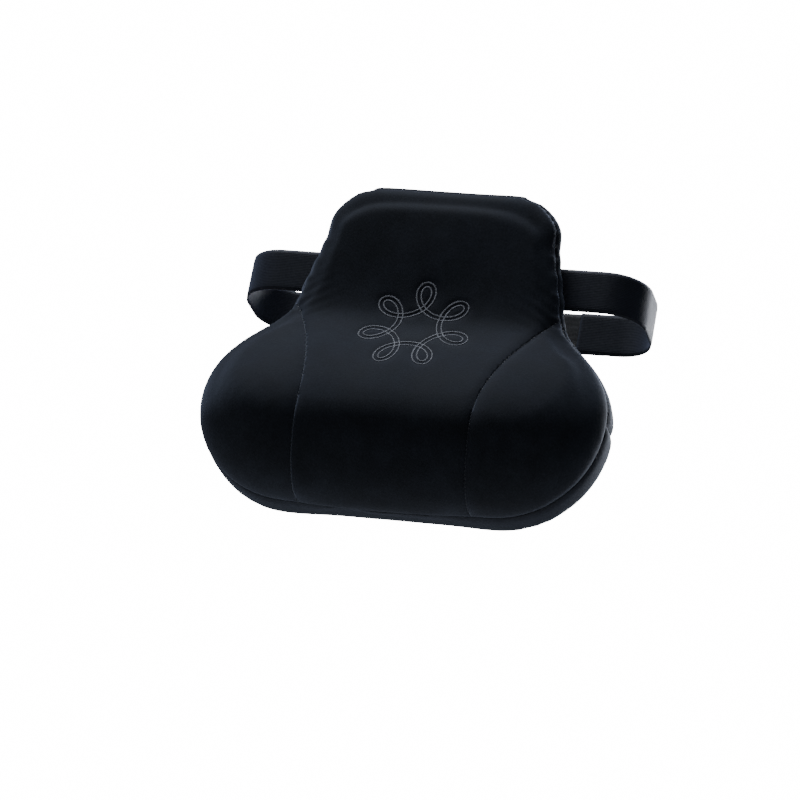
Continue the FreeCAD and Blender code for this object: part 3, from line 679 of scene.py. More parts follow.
def remeshed_copy(node, name, voxel):
    """A CAD solid as one even mesh."""
    mesh = NODES[node].data.copy()
    made = bpy.data.objects.new(name, mesh)
    bpy.context.scene.collection.objects.link(made)
    join = bmesh.new()
    join.from_mesh(mesh)
    bmesh.ops.remove_doubles(join, verts=join.verts, dist=WELD)
    join.to_mesh(mesh)
    join.free()
    remesh = made.modifiers.new("even", "REMESH")
    remesh.mode = "VOXEL"
    remesh.voxel_size = voxel
    return frozen(made)


def relax(piece, rounds, factor=0.5):
    """Evens a mesh out with a few rounds of smoothing."""
    smooth = piece.modifiers.new("relax", "SMOOTH")
    smooth.iterations = rounds
    smooth.factor = factor
    return frozen(piece)


def stuffed_cover():
    """The cover as one closed cloth, blown up over the foam and held flat at the back."""
    cover = settings("cover")
    piece = remeshed_copy("foam_core", "cover", cover.voxel)
    piece = relax(piece, 2)
    foam = surface_of(piece)
    start = vertices_of(piece) + normals_of(piece) * cover.foam_gap
    set_vertices(piece, start)
    moved = simulate(piece) - start
    length = np.linalg.norm(moved, axis=1, keepdims=True)
    share = np.minimum(1.0, cover.swell / np.maximum(length, 1e-9))
    set_vertices(piece, start + moved * share)
    piece = relax(piece, 2)
    hold_to_foam(piece, foam)
    piece = relax(piece, 2)
    hold_to_foam(piece, foam)
    smooth = piece.modifiers.new("smooth", "SUBSURF")
    smooth.levels = smooth.render_levels = 1
    piece = frozen(piece)
    co = vertices_of(piece)
    co[:, 1] = np.minimum(co[:, 1], -FACE_GAP)
    set_vertices(piece, co)
    return piece


def surface_of(piece):
    return BVHTree.FromPolygons(
        [v.co for v in piece.data.vertices], [p.vertices for p in piece.data.polygons]
    )


def hold_to_foam(piece, foam):
    """Keeps the cloth within a few millimetres of where the foam lets it lie."""
    cover = settings("cover")
    co = vertices_of(piece)
    for index, point in enumerate(co):
        place, normal, _, gap = foam.find_nearest(Vector(point))
        away = Vector(point) - place
        clear = away.dot(normal) > OUTWARD_SHARE * gap
        outward = away.normalized() if clear else normal
        depth = gap if away.dot(normal) > 0.0 else -gap
        co[index] = place + outward * min(max(depth, cover.least_gap), cover.most_gap)
    set_vertices(piece, co)


def simulate(piece):
    """Blender's Cloth with the stuffing's pressure. Gives where the points end."""
    cover = settings("cover")
    scene = bpy.context.scene
    cloth = piece.modifiers.new("stuffing", "CLOTH")
    for name, value in VELOUR_CLOTH.items():
        setattr(cloth.settings, name, value)
    cloth.settings.use_pressure = True
    cloth.settings.uniform_pressure_force = cover.pressure
    cloth.settings.effector_weights.gravity = 0.0
    cloth.point_cache.frame_start = 1
    cloth.point_cache.frame_end = cover.frames
    for step in range(1, cover.frames + 1):
        scene.frame_set(step)
    graph = bpy.context.evaluated_depsgraph_get()
    mesh = bpy.data.meshes.new_from_object(piece.evaluated_get(graph), depsgraph=graph)
    co = np.zeros(len(mesh.vertices) * 3)
    mesh.vertices.foreach_get("co", co)
    piece.modifiers.clear()
    bpy.data.meshes.remove(mesh)
    scene.frame_set(1)
    return co.reshape(-1, 3)


def cut_along(piece, to_flat, from_flat, chosen=None):
    """Cuts the mesh along a curved seam: the seam is made the plane x = 0, cut, and put back."""
    work = bmesh.new()
    work.from_mesh(piece.data)
    for vertex in work.verts:
        vertex.co = to_flat(vertex.co)
    geometry = [face for face in work.faces if chosen is None or chosen(face)]
    edges = {edge for face in geometry for edge in face.edges}
    verts = {vertex for face in geometry for vertex in face.verts}
    bmesh.ops.bisect_plane(
        work, geom=geometry + list(edges) + list(verts), dist=CUT_TOLERANCE,
        plane_co=(0, 0, 0), plane_no=(1, 0, 0),
    )
    for vertex in work.verts:
        vertex.co = from_flat(vertex.co)
    work.to_mesh(piece.data)
    work.free()
    piece.data.update()


PANELS = {
    "front_centre": ("front_centre_panel", "velour"),
    "cheek_left": ("cheek_panel_left", "velour"),
    "cheek_right": ("cheek_panel_right", "velour"),
    "gusset_upper": ("gusset_upper", "velour"),
    "gusset_lower": ("gusset_lower", "velour"),
    "back_upper": ("back_panel_upper", "back_cloth"),
    "back_lower": ("back_panel_lower", "back_cloth"),
}
BACK_SEAM = -4.5 * MM       # the back panels' edge seam, just in front of the back face
NEAR_BACK = 1.5 * BACK_SEAM  # a seam behind this is one of the back's
SEWN = (
    ("front_centre", "cheek_left"),
    ("front_centre", "cheek_right"),
    ("front_centre", "gusset_upper"),
    ("cheek_left", "gusset_upper"),
    ("cheek_right", "gusset_upper"),
)


def panel_names(centres):
    """The panel that each face belongs to."""
    x, y, z = centres.T
    names = np.full(len(centres), "gusset_upper", dtype=object)
    names[z < CROSS_SEAM] = "gusset_lower"
    front = y < front_seam_y(z)
    cheek = front & (np.abs(x) > cheek_seam_x(z))
    names[front] = "front_centre"
    names[cheek & (x < 0)] = "cheek_left"
    names[cheek & (x > 0)] = "cheek_right"
    back = y > BACK_SEAM
    names[back & (z > ZIP_LEVEL)] = "back_upper"
    names[back & (z <= ZIP_LEVEL)] = "back_lower"
    return names


def face_centres(piece):
    centres = np.zeros(len(piece.data.polygons) * 3)
    piece.data.polygons.foreach_get("center", centres)
    return centres.reshape(-1, 3)


def cut_seams(piece):
    """Cuts the cover along its front seam, back seam, cheek seams, cross seams and zip."""
    def front_shift(co):
        return Vector((co.y - float(front_seam_y(co.z)), co.x, co.z))

    def front_back(co):
        return Vector((co.y, co.x + float(front_seam_y(co.z)), co.z))

    cut_along(piece, front_shift, front_back)
    cut_along(
        piece,
        lambda co: Vector((co.y - BACK_SEAM, co.x, co.z)),
        lambda co: Vector((co.y, co.x + BACK_SEAM, co.z)),
    )
    for side in (1.0, -1.0):
        cut_along(
            piece,
            lambda co: Vector((side * co.x - float(cheek_seam_x(co.z)), co.y, co.z)),
            lambda co: Vector((side * (co.x + float(cheek_seam_x(co.z))), co.y, co.z)),
        )
    for level in (CROSS_SEAM, ZIP_LEVEL):
        cut_along(
            piece,
            lambda co: Vector((co.z - level, co.y, co.x)),
            lambda co: Vector((co.z, co.y, co.x + level)),
        )


def seam_points(piece, names):
    """The points where two panels meet."""
    owners = [set() for _ in piece.data.vertices]
    for polygon, name in zip(piece.data.polygons, names):
        for index in polygon.vertices:
            owners[index].add(name)
    return np.array([len(owner) > 1 for owner in owners])


def even_normals(piece):
    """The outward direction at each point, evened out over the points around it."""
    co = vertices_of(piece)
    normals = normals_of(piece)
    tree = KDTree(len(co))
    for index, point in enumerate(co):
        tree.insert(point, index)
    tree.balance()
    even = np.array([
        np.mean([normals[near] for _, near, _ in tree.find_n(point, NEIGHBOURS)], axis=0)
        for point in co
    ])
    return even / np.linalg.norm(even, axis=1, keepdims=True)


def sink_seams(piece, names):
    """Pulls the cloth in along its seams, so that each panel swells a little between them."""
    cover = settings("cover")
    co = vertices_of(piece)
    normals = even_normals(piece)
    on_seam = seam_points(piece, names)
    tree = KDTree(int(on_seam.sum()))
    for index, point in enumerate(co[on_seam]):
        tree.insert(point, index)
    tree.balance()
    distance = np.array([tree.find(point)[2] for point in co])
    pull = cover.seam_depth * np.exp(-((distance / cover.seam_reach) ** SEAM_FALL))
    pull *= np.where(co[:, 1] > NEAR_BACK, BACK_PULL, 1.0)
    set_vertices(piece, co - normals * pull[:, None])


def rumple(piece):
    """Soft unevenness of hand-stuffed cloth: low waves, and short creases at the waist."""
    co = vertices_of(piece)
    normals = normals_of(piece)
    x, y, z = co.T
    (across, across_start), (up, up_start) = BROAD_WAVES
    waves = np.sin(x * across + across_start) * np.sin(z * up + up_start) * BROAD_HEIGHT
    for across, up, start, height in SLANTED_WAVES:
        waves += np.sin(x * across + z * up + start) * height
    at_waist = np.exp(-(((z - WAIST) / CREASE_BAND) ** 2))
    near_edge = np.clip((np.abs(x) - CREASE_START) / CREASE_RISE, 0.0, 1.0)
    creases = np.sin((z + np.abs(x) * CREASE_SLANT) * CREASE_WAVE) * at_waist * near_edge
    front = np.clip((-FLAT_BACK - y) / FLAT_FADE, 0.0, 1.0)
    raised = (waves * WAVE_SHARE + creases * CREASE_HEIGHT) * MM * front
    set_vertices(piece, co + normals * raised[:, None])


def split_panels(piece, names):
    """One sheet of cloth for each panel, given the cloth's thickness inwards."""
    cover = settings("cover")
    made = {}
    for panel, (node, slot) in PANELS.items():
        part = bpy.data.objects.new("cover_" + panel, piece.data.copy())
        bpy.context.scene.collection.objects.link(part)
        work = bmesh.new()
        work.from_mesh(part.data)
        work.faces.ensure_lookup_table()
        others = [work.faces[i] for i in np.nonzero(names != panel)[0]]
        bmesh.ops.delete(work, geom=others, context="FACES")
        work.to_mesh(part.data)
        work.free()
        thick = part.modifiers.new("cloth", "SOLIDIFY")
        thick.thickness = cover.cloth
        thick.offset = -1.0
        thick.use_even_offset = False
        made[panel] = finish_piece(frozen(part), slot, replaces=[node])
    return made


COVER = {}                  # what later pieces use: the cover's surface, inside and seams


def seam_runs(piece, names, first, second):
    """The line between two panels, as runs of points in order."""
    owners = {}
    for polygon, name in zip(piece.data.polygons, names):
        for key in polygon.edge_keys:
            owners.setdefault(key, []).append(name)
    links = {}
    for key, pair in owners.items():
        if set(pair) == {first, second}:
            links.setdefault(key[0], []).append(key[1])
            links.setdefault(key[1], []).append(key[0])
    runs, seen = [], set()
    for start in sorted(links, key=lambda index: (len(links[index]), index)):
        if start in seen:
            continue
        run, here = [start], start
        seen.add(start)
        while True:
            following = [index for index in links[here] if index not in seen]
            if not following:
                break
            here = following[0]
            seen.add(here)
            run.append(here)
        if len(run) > SHORTEST_SEAM:
            runs.append([piece.data.vertices[index].co.copy() for index in run])
    return runs


def evened(run, rounds=6):
    """The run with its small zigzags smoothed out."""
    spots = np.array([tuple(spot) for spot in run])
    for _ in range(rounds):
        spots[1:-1] = 0.25 * spots[:-2] + 0.5 * spots[1:-1] + 0.25 * spots[2:]
    return [Vector(spot) for spot in spots]


def sink_embroidery(piece):
    """Dimples the front where the dense embroidery pulls the pile down."""
    co = vertices_of(piece)
    normals = even_normals(piece)
    x, z = rosette(0.0)
    tree = KDTree(len(x))
    for index in range(len(x)):
        tree.insert((x[index], 0.0, z[index]), index)
    tree.balance()
    depth = settings("emblem").dimple
    reach = settings("emblem").band
    for index in np.nonzero(normals[:, 1] < FRONT_FACING)[0]:
        _, _, gap = tree.find((co[index, 0], 0.0, co[index, 2]))
        co[index] -= normals[index] * depth * math.exp(-((gap / reach) ** 2))
    set_vertices(piece, co)


class CUSHION_OT_cover(bpy.types.Operator):
    """The velour cover: stuffed as one cloth, cut into its panels and pulled in at the seams"""

    bl_idname = "cushion.cover"
    bl_label = "Cover"

    def execute(self, context):
        whole = stuffed_cover()
        rumple(whole)
        cut_seams(whole)
        names = panel_names(face_centres(whole))
        sink_seams(whole, names)
        sink_embroidery(whole)
        cut_zip_slot(whole)
        names = panel_names(face_centres(whole))
        COVER["surface"] = surface_of(whole)
        COVER["seams"] = {
            pair: [evened(run) for run in seam_runs(whole, names, *pair)] for pair in SEWN
        }
        for panel in split_panels(whole, names).values():
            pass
        COVER["whole"] = whole
        return {"FINISHED"}


SLOT_HALF = 6.5 * MM        # half the slot that the back panels leave for the zip
SLOT_PAST = 2 * MM          # how far the slot goes past the coil's ends


def cut_zip_slot(piece):
    """Opens the back along the zip, as wide as the gap between the back panels."""
    end = span("zip_coil_upper", 0)[1] + SLOT_PAST
    for level in (ZIP_LEVEL - SLOT_HALF, ZIP_LEVEL + SLOT_HALF):
        cut_along(
            piece,
            lambda co: Vector((co.z - level, co.y, co.x)),
            lambda co: Vector((co.z, co.y, co.x + level)),
            chosen=lambda face: face.calc_center_median().y > BACK_SEAM,
        )
    for side in (end, -end):
        cut_along(
            piece,
            lambda co: Vector((co.x - side, co.y, co.z)),
            lambda co: Vector((co.x + side, co.y, co.z)),
            chosen=lambda face: face.calc_center_median().y > BACK_SEAM,
        )
    work = bmesh.new()
    work.from_mesh(piece.data)
    gone = []
    for face in work.faces:
        centre = face.calc_center_median()
        inside = abs(centre.x) < end and abs(centre.z - ZIP_LEVEL) < SLOT_HALF
        if inside and centre.y > BACK_SEAM:
            gone.append(face)
    bmesh.ops.delete(work, geom=gone, context="FACES")
    work.to_mesh(piece.data)
    work.free()


FOAM_VOXEL = 6 * MM         # grid of the foam block's surface
LINER_GAP = 1.3 * MM        # from the cover's inside to the liner
BACKING_GAP = 0.15 * MM     # from the cover's inside to the stabiliser
LAYER_WALL = 0.6 * MM       # thickness of the liner and the stabiliser


class CUSHION_OT_inside(bpy.types.Operator):
    """What the cover hides: the foam block, its liner and the stabiliser behind the embroidery"""

    bl_idname = "cushion.inside"
    bl_label = "Inside"

    def execute(self, context):
        foam = remeshed_copy("foam_core", "foam_block", FOAM_VOXEL)
        foam = relax(foam, 3)
        finish_piece(foam, "foam", replaces=["foam_core"])
        cloth = settings("cover").cloth
        for node, slot, depth, kept in (
            ("liner_front", "liner", cloth + LINER_GAP, lambda centre: centre.y < -GUSSET_HIGH),
            ("liner_back", "liner", cloth + LINER_GAP, lambda centre: centre.y >= -GUSSET_HIGH),
            ("emblem_backing", "stabiliser", cloth + BACKING_GAP, under_emblem),
        ):
            finish_piece(layer_under_cover(node, depth, kept), slot, replaces=[node])
        bpy.data.objects.remove(COVER.pop("whole"))
        return {"FINISHED"}


def under_emblem(centre):
    """Whether a place on the front lies over the embroidery's stabiliser."""
    middle = 0.5 * (BACKING_LOW.z + BACKING_HIGH.z)
    reach = 0.5 * (BACKING_HIGH.x - BACKING_LOW.x)
    return centre.y < BACKING_HIGH.y and math.hypot(centre.x, centre.z - middle) < reach


def layer_under_cover(node, depth, kept):
    """A thin layer that lies a given depth under the cover, over the faces that are kept."""
    piece = bpy.data.objects.new(f"{node}_layer", COVER["whole"].data.copy())
    bpy.context.scene.collection.objects.link(piece)
    set_vertices(piece, vertices_of(piece) - even_normals(piece) * depth)
    work = bmesh.new()
    work.from_mesh(piece.data)
    gone = [face for face in work.faces if not kept(face.calc_center_median())]
    bmesh.ops.delete(work, geom=gone, context="FACES")
    work.to_mesh(piece.data)
    work.free()
    thick = piece.modifiers.new("layer", "SOLIDIFY")
    thick.thickness = LAYER_WALL
    thick.offset = -1.0
    return frozen(piece)


# ------------------------------------------------------------------ stitches


def group_input(tree, name, kind, default=None):
    socket = tree.interface.new_socket(name=name, in_out="INPUT", socket_type=kind)
    if default is not None:
        socket.default_value = default
    return socket


def linked(tree, kind, inputs=None, **settings_of_node):
    made = tree.nodes.new(kind)
    for name, value in settings_of_node.items():
        setattr(made, name, value)
    for name, value in (inputs or {}).items():
        if isinstance(value, bpy.types.NodeSocket):
            tree.links.new(value, made.inputs[name])
        else:
            made.inputs[name].default_value = value
    return made


def stitch_tree():
    """Geometry Nodes: one small bar of thread at every pitch along the edges of a mesh.

    Each bar lies along the path, its flat side by the "up" attribute, turned by Slant.
    """
    tree = bpy.data.node_groups.new("stitch_run", "GeometryNodeTree")
    tree.interface.new_socket(name="Geometry", in_out="INPUT", socket_type="NodeSocketGeometry")
    group_input(tree, "Pitch", "NodeSocketFloat", 3 * MM)
    group_input(tree, "Length", "NodeSocketFloat", 2.5 * MM)
    group_input(tree, "Width", "NodeSocketFloat", 0.6 * MM)
    group_input(tree, "Height", "NodeSocketFloat", 0.5 * MM)
    group_input(tree, "Slant", "NodeSocketFloat", 0.0)
    group_input(tree, "Unevenness", "NodeSocketFloat", 0.08)
    group_input(tree, "Seed", "NodeSocketInt", 3)
    group_input(tree, "Material", "NodeSocketMaterial")
    tree.interface.new_socket(name="Geometry", in_out="OUTPUT", socket_type="NodeSocketGeometry")
    given = tree.nodes.new("NodeGroupInput").outputs
    path = linked(tree, "GeometryNodeMeshToCurve", {"Mesh": given["Geometry"]})
    even = linked(tree, "GeometryNodeResampleCurve", {
        "Curve": path.outputs["Curve"], "Length": given["Pitch"],
    }, mode="LENGTH")
    bar = linked(tree, "GeometryNodeMeshUVSphere", {"Segments": 8, "Rings": 5, "Radius": 0.5})
    size = linked(tree, "ShaderNodeCombineXYZ", {
        "X": given["Length"], "Y": given["Width"], "Z": given["Height"],
    })
    shaped = linked(tree, "GeometryNodeTransform", {
        "Geometry": bar.outputs["Mesh"], "Scale": size.outputs["Vector"],
    })
    up = linked(tree, "GeometryNodeInputNamedAttribute", {"Name": UP_ATTRIBUTE},
                data_type="FLOAT_VECTOR")
    tangent = tree.nodes.new("GeometryNodeInputTangent")
    along = linked(tree, "FunctionNodeAlignRotationToVector",
                   {"Vector": tangent.outputs["Tangent"]}, axis="X")
    upright = linked(tree, "FunctionNodeAlignRotationToVector", {
        "Rotation": along.outputs["Rotation"], "Vector": up.outputs["Attribute"],
    }, axis="Z", pivot_axis="X")
    wobble = linked(tree, "FunctionNodeRandomValue", {"Seed": given["Seed"]}, data_type="FLOAT")
    spread = linked(tree, "ShaderNodeMath", operation="MULTIPLY")
    centred = linked(tree, "ShaderNodeMath", operation="SUBTRACT")
    random_value = next(s for s in wobble.outputs if s.enabled)
    tree.links.new(random_value, centred.inputs[0])
    centred.inputs[1].default_value = 0.5
    tree.links.new(centred.outputs[0], spread.inputs[0])
    tree.links.new(given["Unevenness"], spread.inputs[1])
    turn = linked(tree, "ShaderNodeMath", operation="ADD")
    tree.links.new(given["Slant"], turn.inputs[0])
    tree.links.new(spread.outputs[0], turn.inputs[1])
    turned = linked(tree, "ShaderNodeCombineXYZ", {"Z": turn.outputs[0]})
    slanted = linked(tree, "FunctionNodeRotateRotation", {
        "Rotation": upright.outputs["Rotation"],
    }, rotation_space="LOCAL")
    tree.links.new(turned.outputs["Vector"], slanted.inputs["Rotate By"])
    placed = linked(tree, "GeometryNodeInstanceOnPoints", {
        "Points": even.outputs["Curve"],
        "Instance": shaped.outputs["Geometry"],
        "Rotation": slanted.outputs["Rotation"],
    })
    real = linked(tree, "GeometryNodeRealizeInstances", {"Geometry": placed.outputs["Instances"]})
    shaded = linked(tree, "GeometryNodeSetMaterial", {
        "Geometry": real.outputs["Geometry"], "Material": given["Material"],
    })
    result = tree.nodes.new("NodeGroupOutput")
    tree.links.new(shaded.outputs["Geometry"], result.inputs["Geometry"])
    return tree


def run_tree(piece, tree, values):
    """Adds a Geometry Nodes tree to a piece, sets its inputs by identifier, and freezes it."""
    modifier = piece.modifiers.new(tree.name, "NODES")
    sockets = {s.name: s.identifier for s in tree.interface.items_tree
               if s.item_type == "SOCKET" and s.in_out == "INPUT"}
    modifier.node_group = tree
    for name, value in values.items():
        modifier[sockets[name]] = value
    return frozen(piece)


TREES = {}


def tree_named(name, maker):
    if name not in TREES:
        TREES[name] = maker()
    return TREES[name]


def path_piece(name, runs):
    """A mesh of open or closed runs of points, each with the surface's outward direction."""
    points, edges, ups = [], [], []
    for spots, outward, closed in runs:
        first = len(points)
        points.extend(spots)
        ups.extend(outward)
        count = len(spots)
        edges.extend((first + i, first + i + 1) for i in range(count - 1))
        if closed:
            edges.append((first + count - 1, first))
    mesh = bpy.data.meshes.new(name)
    mesh.from_pydata([tuple(p) for p in points], edges, [])
    attribute = mesh.attributes.new(UP_ATTRIBUTE, "FLOAT_VECTOR", "POINT")
    attribute.data.foreach_set("vector", np.array(ups, dtype=np.float32).ravel())
    piece = bpy.data.objects.new(name, mesh)
    bpy.context.scene.collection.objects.link(piece)
    return piece


def stitches(name, runs, pitch, length, width, height, finish, slant=0.0, uneven=0.1):
    """A row of stitches along each run."""
    piece = path_piece(name, runs)
    return run_tree(piece, tree_named("stitch_run", stitch_tree), {
        "Pitch": pitch, "Length": length, "Width": width, "Height": height,
        "Slant": slant, "Unevenness": uneven, "Material": material(finish),
    })


def on_cover(spots, lift):
    """The nearest places on the cover, lifted off it, with its outward direction there."""
    places, outward = [], []
    for spot in spots:
        place, normal, _, _ = COVER["surface"].find_nearest(Vector(spot))
        places.append(place + normal * lift)
        outward.append(normal)
    return places, outward


IN_FRONT = -0.5             # a place well in front of the cushion


def front_hit(x, z):
    """The place on the cover's front at this x and z."""
    place, normal, _, _ = COVER["surface"].ray_cast(Vector((x, IN_FRONT, z)), Vector((0, 1, 0)))
    return place, normal


# ------------------------------------------------------------------ embroidery


PETAL_POINTS = 120          # points along each petal's line
EMBROIDERY_LIFT = 0.25 * MM  # the satin stitches' middle above the pile
SATIN = (1.05, 1.2, 1.6)    # pitch, width and height, as shares of the thread's thickness
SATIN_SLANT = math.radians(68.0)
SATIN_UNEVENNESS = 0.25


def rosette(shift):
    """The rosette's closed line in the plane: a looping curve, moved sideways by a shift."""
    emblem = settings("emblem")
    low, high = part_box("emblem_embroidery")
    reach = 0.5 * (high.x - low.x) - emblem.band
    loop = reach * emblem.loop_share / (1 + emblem.loop_share)
    ring = reach - loop
    count = PETAL_POINTS * emblem.petals
    turn = np.linspace(0.0, 2 * math.pi, count, endpoint=False)
    fast = (emblem.petals - 1) * turn
    x = ring * np.sin(turn) - loop * np.sin(fast)
    z = ring * np.cos(turn) + loop * np.cos(fast)
    along = np.stack([np.roll(x, -1) - np.roll(x, 1), np.roll(z, -1) - np.roll(z, 1)], 1)
    along /= np.linalg.norm(along, axis=1, keepdims=True)
    x = x + shift * along[:, 1]
    z = z - shift * along[:, 0]
    middle = 0.5 * (low.z + high.z)
    return x, z + middle


def emblem_runs(shift, lift):
    x, z = rosette(shift)
    spots, outward = [], []
    for a, b in zip(x, z):
        place, normal = front_hit(a, b)
        spots.append(place + normal * lift)
        outward.append(normal)
    return [(spots, outward, True)]


class CUSHION_OT_embroidery(bpy.types.Operator):
    """The embroidered rosette: two satin-stitched lines that follow one looping band"""

    bl_idname = "cushion.embroidery"
    bl_label = "Embroidery"

    def execute(self, context):
        emblem = settings("emblem")
        pitch, width, height = (emblem.thread * share for share in SATIN)
        runs = []
        for side in (0.5, -0.5):
            runs += emblem_runs(side * emblem.band, EMBROIDERY_LIFT)
        piece = stitches(
            "embroidered_rosette", runs, pitch, emblem.line, width, height, "thread",
            slant=SATIN_SLANT, uneven=SATIN_UNEVENNESS,
        )
        finish_piece(piece, "thread", replaces=["emblem_embroidery"])
        return {"FINISHED"}


# ------------------------------------------------------------------ seam stitches


SEAM_LIFT = 0.05 * MM
SEAM_STITCH = (3.4 * MM, 2.4 * MM, 0.45 * MM, 0.4 * MM)     # pitch, length, width and height


class CUSHION_OT_seams(bpy.types.Operator):
    """The thread that shows in the cheek seams and in the front seam"""

    bl_idname = "cushion.seams"
    bl_label = "Seam Thread"

    def execute(self, context):
        runs = []
        for lines in COVER["seams"].values():
            for line in lines:
                spots, outward = on_cover(line, SEAM_LIFT)
                runs.append((spots, outward, False))
        piece = stitches("seam_threads", runs, *SEAM_STITCH, "seam_thread")
        finish_piece(piece, "thread", "seam_thread")
        return {"FINISHED"}


# ------------------------------------------------------------------ straps


ARC_STEP = math.radians(6)  # turn of a strap's bend from one point to the next
SAME_POINT = 1e-7           # a shorter step along a path is left out
SELVEDGE = 1.2 * MM         # width of a strap's thinner woven edge
SELVEDGE_SHARE = 0.55       # its thickness at the very edge, as a share
ELASTIC_MIDDLE = 0.9 * MM   # from the elastic's face to its middle
PATCH_INNER = 105 * MM      # elastic and webbing lie on each other from here
PATCH_OUTER = 130 * MM      # to here
PATCH_LIFT = 0.1 * MM
NECK_LEAN = 0.224           # how far in the neck's edge goes for its height
LEAN_REACH = 24 * MM        # the length of elastic that is slanted with it
END_TUCK = 7 * MM           # how far the elastic's end goes in under the cover's edge
SEWN_ROWS = (4.5 * MM, 6.5 * MM)                # stitches that hold the end, from the edge
SEWN_LIFT = 0.15 * MM
STITCH_INSET = 4 * MM       # the stitches' distance from a strap's edges
STITCH_GAP = 1.25           # from one strap stitch to the next, as a share of its length
STRAP_THREAD = (0.6 * MM, 0.5 * MM)             # width and height of a strap stitch
LINE_POINTS = 12            # points along one straight line of stitches

WEBBING_MIDDLE = 0.75 * MM  # from the elastic's back to the middle of the webbing on it
WEBBING_LAYER = 1.8 * MM    # from one layer of webbing to the next
WEBBING_INSET = 0.4 * MM    # the webbing is this much narrower at each edge
FOLD = 2.45 * MM            # half the distance between the two layers at the buckle's bar
FOLD_EASE = 0.1 * MM        # the fold's radius is this much smaller
BAR_IN = 4.5 * MM           # the bar's slot, from the end of the buckle's lug
FOLD_REACH = 2.5 * MM       # how far past the slot's middle the fold goes
LAYERS_OPEN = 6 * MM        # where the layers are fully apart, from the slot's middle
LAYERS_CLOSE = 10 * MM      # and where they lie together, from there
PLUG_TAIL = 78 * MM         # where the webbing's free end lies on the plug's side
HOUSING_TAIL = -118 * MM    # and on the housing's side
GENTLE_BEND = 12 * MM


def bent_path(spots, radii, step=2.5 * MM):
    """A path in X and Y through the spots, its bends as arcs, with each point's left normal."""
    runs = [Vector((a, b, 0)) for a, b in spots]
    path = [runs[0]]
    for index, radius in enumerate(radii, start=1):
        into = (runs[index] - runs[index - 1]).normalized()
        away = (runs[index + 1] - runs[index]).normalized()
        turn = into.angle(away)
        trim = radius * math.tan(0.5 * turn)
        side = 1.0 if into.cross(away).z > 0 else -1.0
        begin = runs[index] - into * trim
        centre = begin + Vector((-into.y, into.x, 0)) * (side * radius)
        count = max(4, int(turn / ARC_STEP))
        for part in range(count + 1):
            swing = Matrix.Rotation(side * turn * part / count, 3, "Z")
            path.append(centre + swing @ (begin - centre))
    path.append(runs[-1])
    dense = [path[0]]
    for point in path[1:]:
        gap = (point - dense[-1]).length
        if gap < SAME_POINT:
            continue
        start = dense[-1].copy()
        count = max(1, int(gap / step))
        for part in range(1, count + 1):
            dense.append(start.lerp(point, part / count))
    return dense


def ribbon(name, path, low_z, high_z, thickness, columns=12):
    """A flat woven strap along a path: rounded selvedges, and a UV map in metres of cloth."""
    count = len(path)
    along = [0.0]
    for a, b in zip(path, path[1:]):
        along.append(along[-1] + (b - a).length)
    profile = []
    half = 0.5 * thickness
    width = high_z - low_z
    for column in range(columns + 1):
        share = column / columns
        edge = min(share, 1 - share) * width
        swell = half * min(1.0, SELVEDGE_SHARE + edge / SELVEDGE * (1.0 - SELVEDGE_SHARE))
        profile.append((low_z + share * width, swell))
    ring = [(z, swell) for z, swell in profile] + [(z, -swell) for z, swell in profile[::-1]]
    vertices, faces, uv = [], [], []
    for index, point in enumerate(path):
        before = path[max(index - 1, 0)]
        after = path[min(index + 1, count - 1)]
        direction = (after - before).normalized()
        normal = Vector((-direction.y, direction.x, 0))
        for z, swell in ring:
            vertices.append(Vector((point.x, point.y, z)) + normal * swell)
    size = len(ring)
    for index in range(count - 1):
        for spot in range(size):
            following = (spot + 1) % size
            base = index * size
            faces.append((base + spot, base + following, base + size + following, base + size + spot))
            z_low, z_high = ring[spot][0], ring[following][0]
            uv.extend([(along[index], z_low), (along[index], z_high),
                       (along[index + 1], z_high), (along[index + 1], z_low)])
    last = (count - 1) * size
    for base, flip, place in ((0, True, 0), (last, False, count - 1)):
        for column in range(columns):
            corners = [base + column, base + column + 1,
                       base + size - 2 - column, base + size - 1 - column]
            heights = [ring[column][0], ring[column + 1][0], ring[column + 1][0], ring[column][0]]
            if not flip:
                corners, heights = corners[::-1], heights[::-1]
            faces.append(tuple(corners))
            uv.extend([(along[place], height) for height in heights])
    piece = new_piece(name, vertices, faces)
    layer = piece.data.uv_layers.new(name="cloth")
    layer.data.foreach_set("uv", np.array(uv, dtype=np.float32).ravel())
    return recalculated(piece)


def recalculated(piece):
    """Turns every face outwards."""
    work = bmesh.new()
    work.from_mesh(piece.data)
    bmesh.ops.recalc_face_normals(work, faces=work.faces)
    work.to_mesh(piece.data)
    work.free()
    return piece


def elastic_route(side):
    """The elastic's line: along the back face, round the backrest's edge, and in behind it."""
    strap = settings("strap")
    node = "elastic_right" if side > 0 else "elastic_left"
    low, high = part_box(node)
    inner = min(abs(low.x), abs(high.x))
    outer = max(abs(low.x), abs(high.x)) - ELASTIC_MIDDLE
    front = low.y + ELASTIC_MIDDLE
    rear = high.y - ELASTIC_MIDDLE
    corners = [(inner, front), (outer, front), (outer, rear), (PATCH_INNER, rear)]
    return bent_path([(side * x, y) for x, y in corners], [strap.bend, strap.bend])


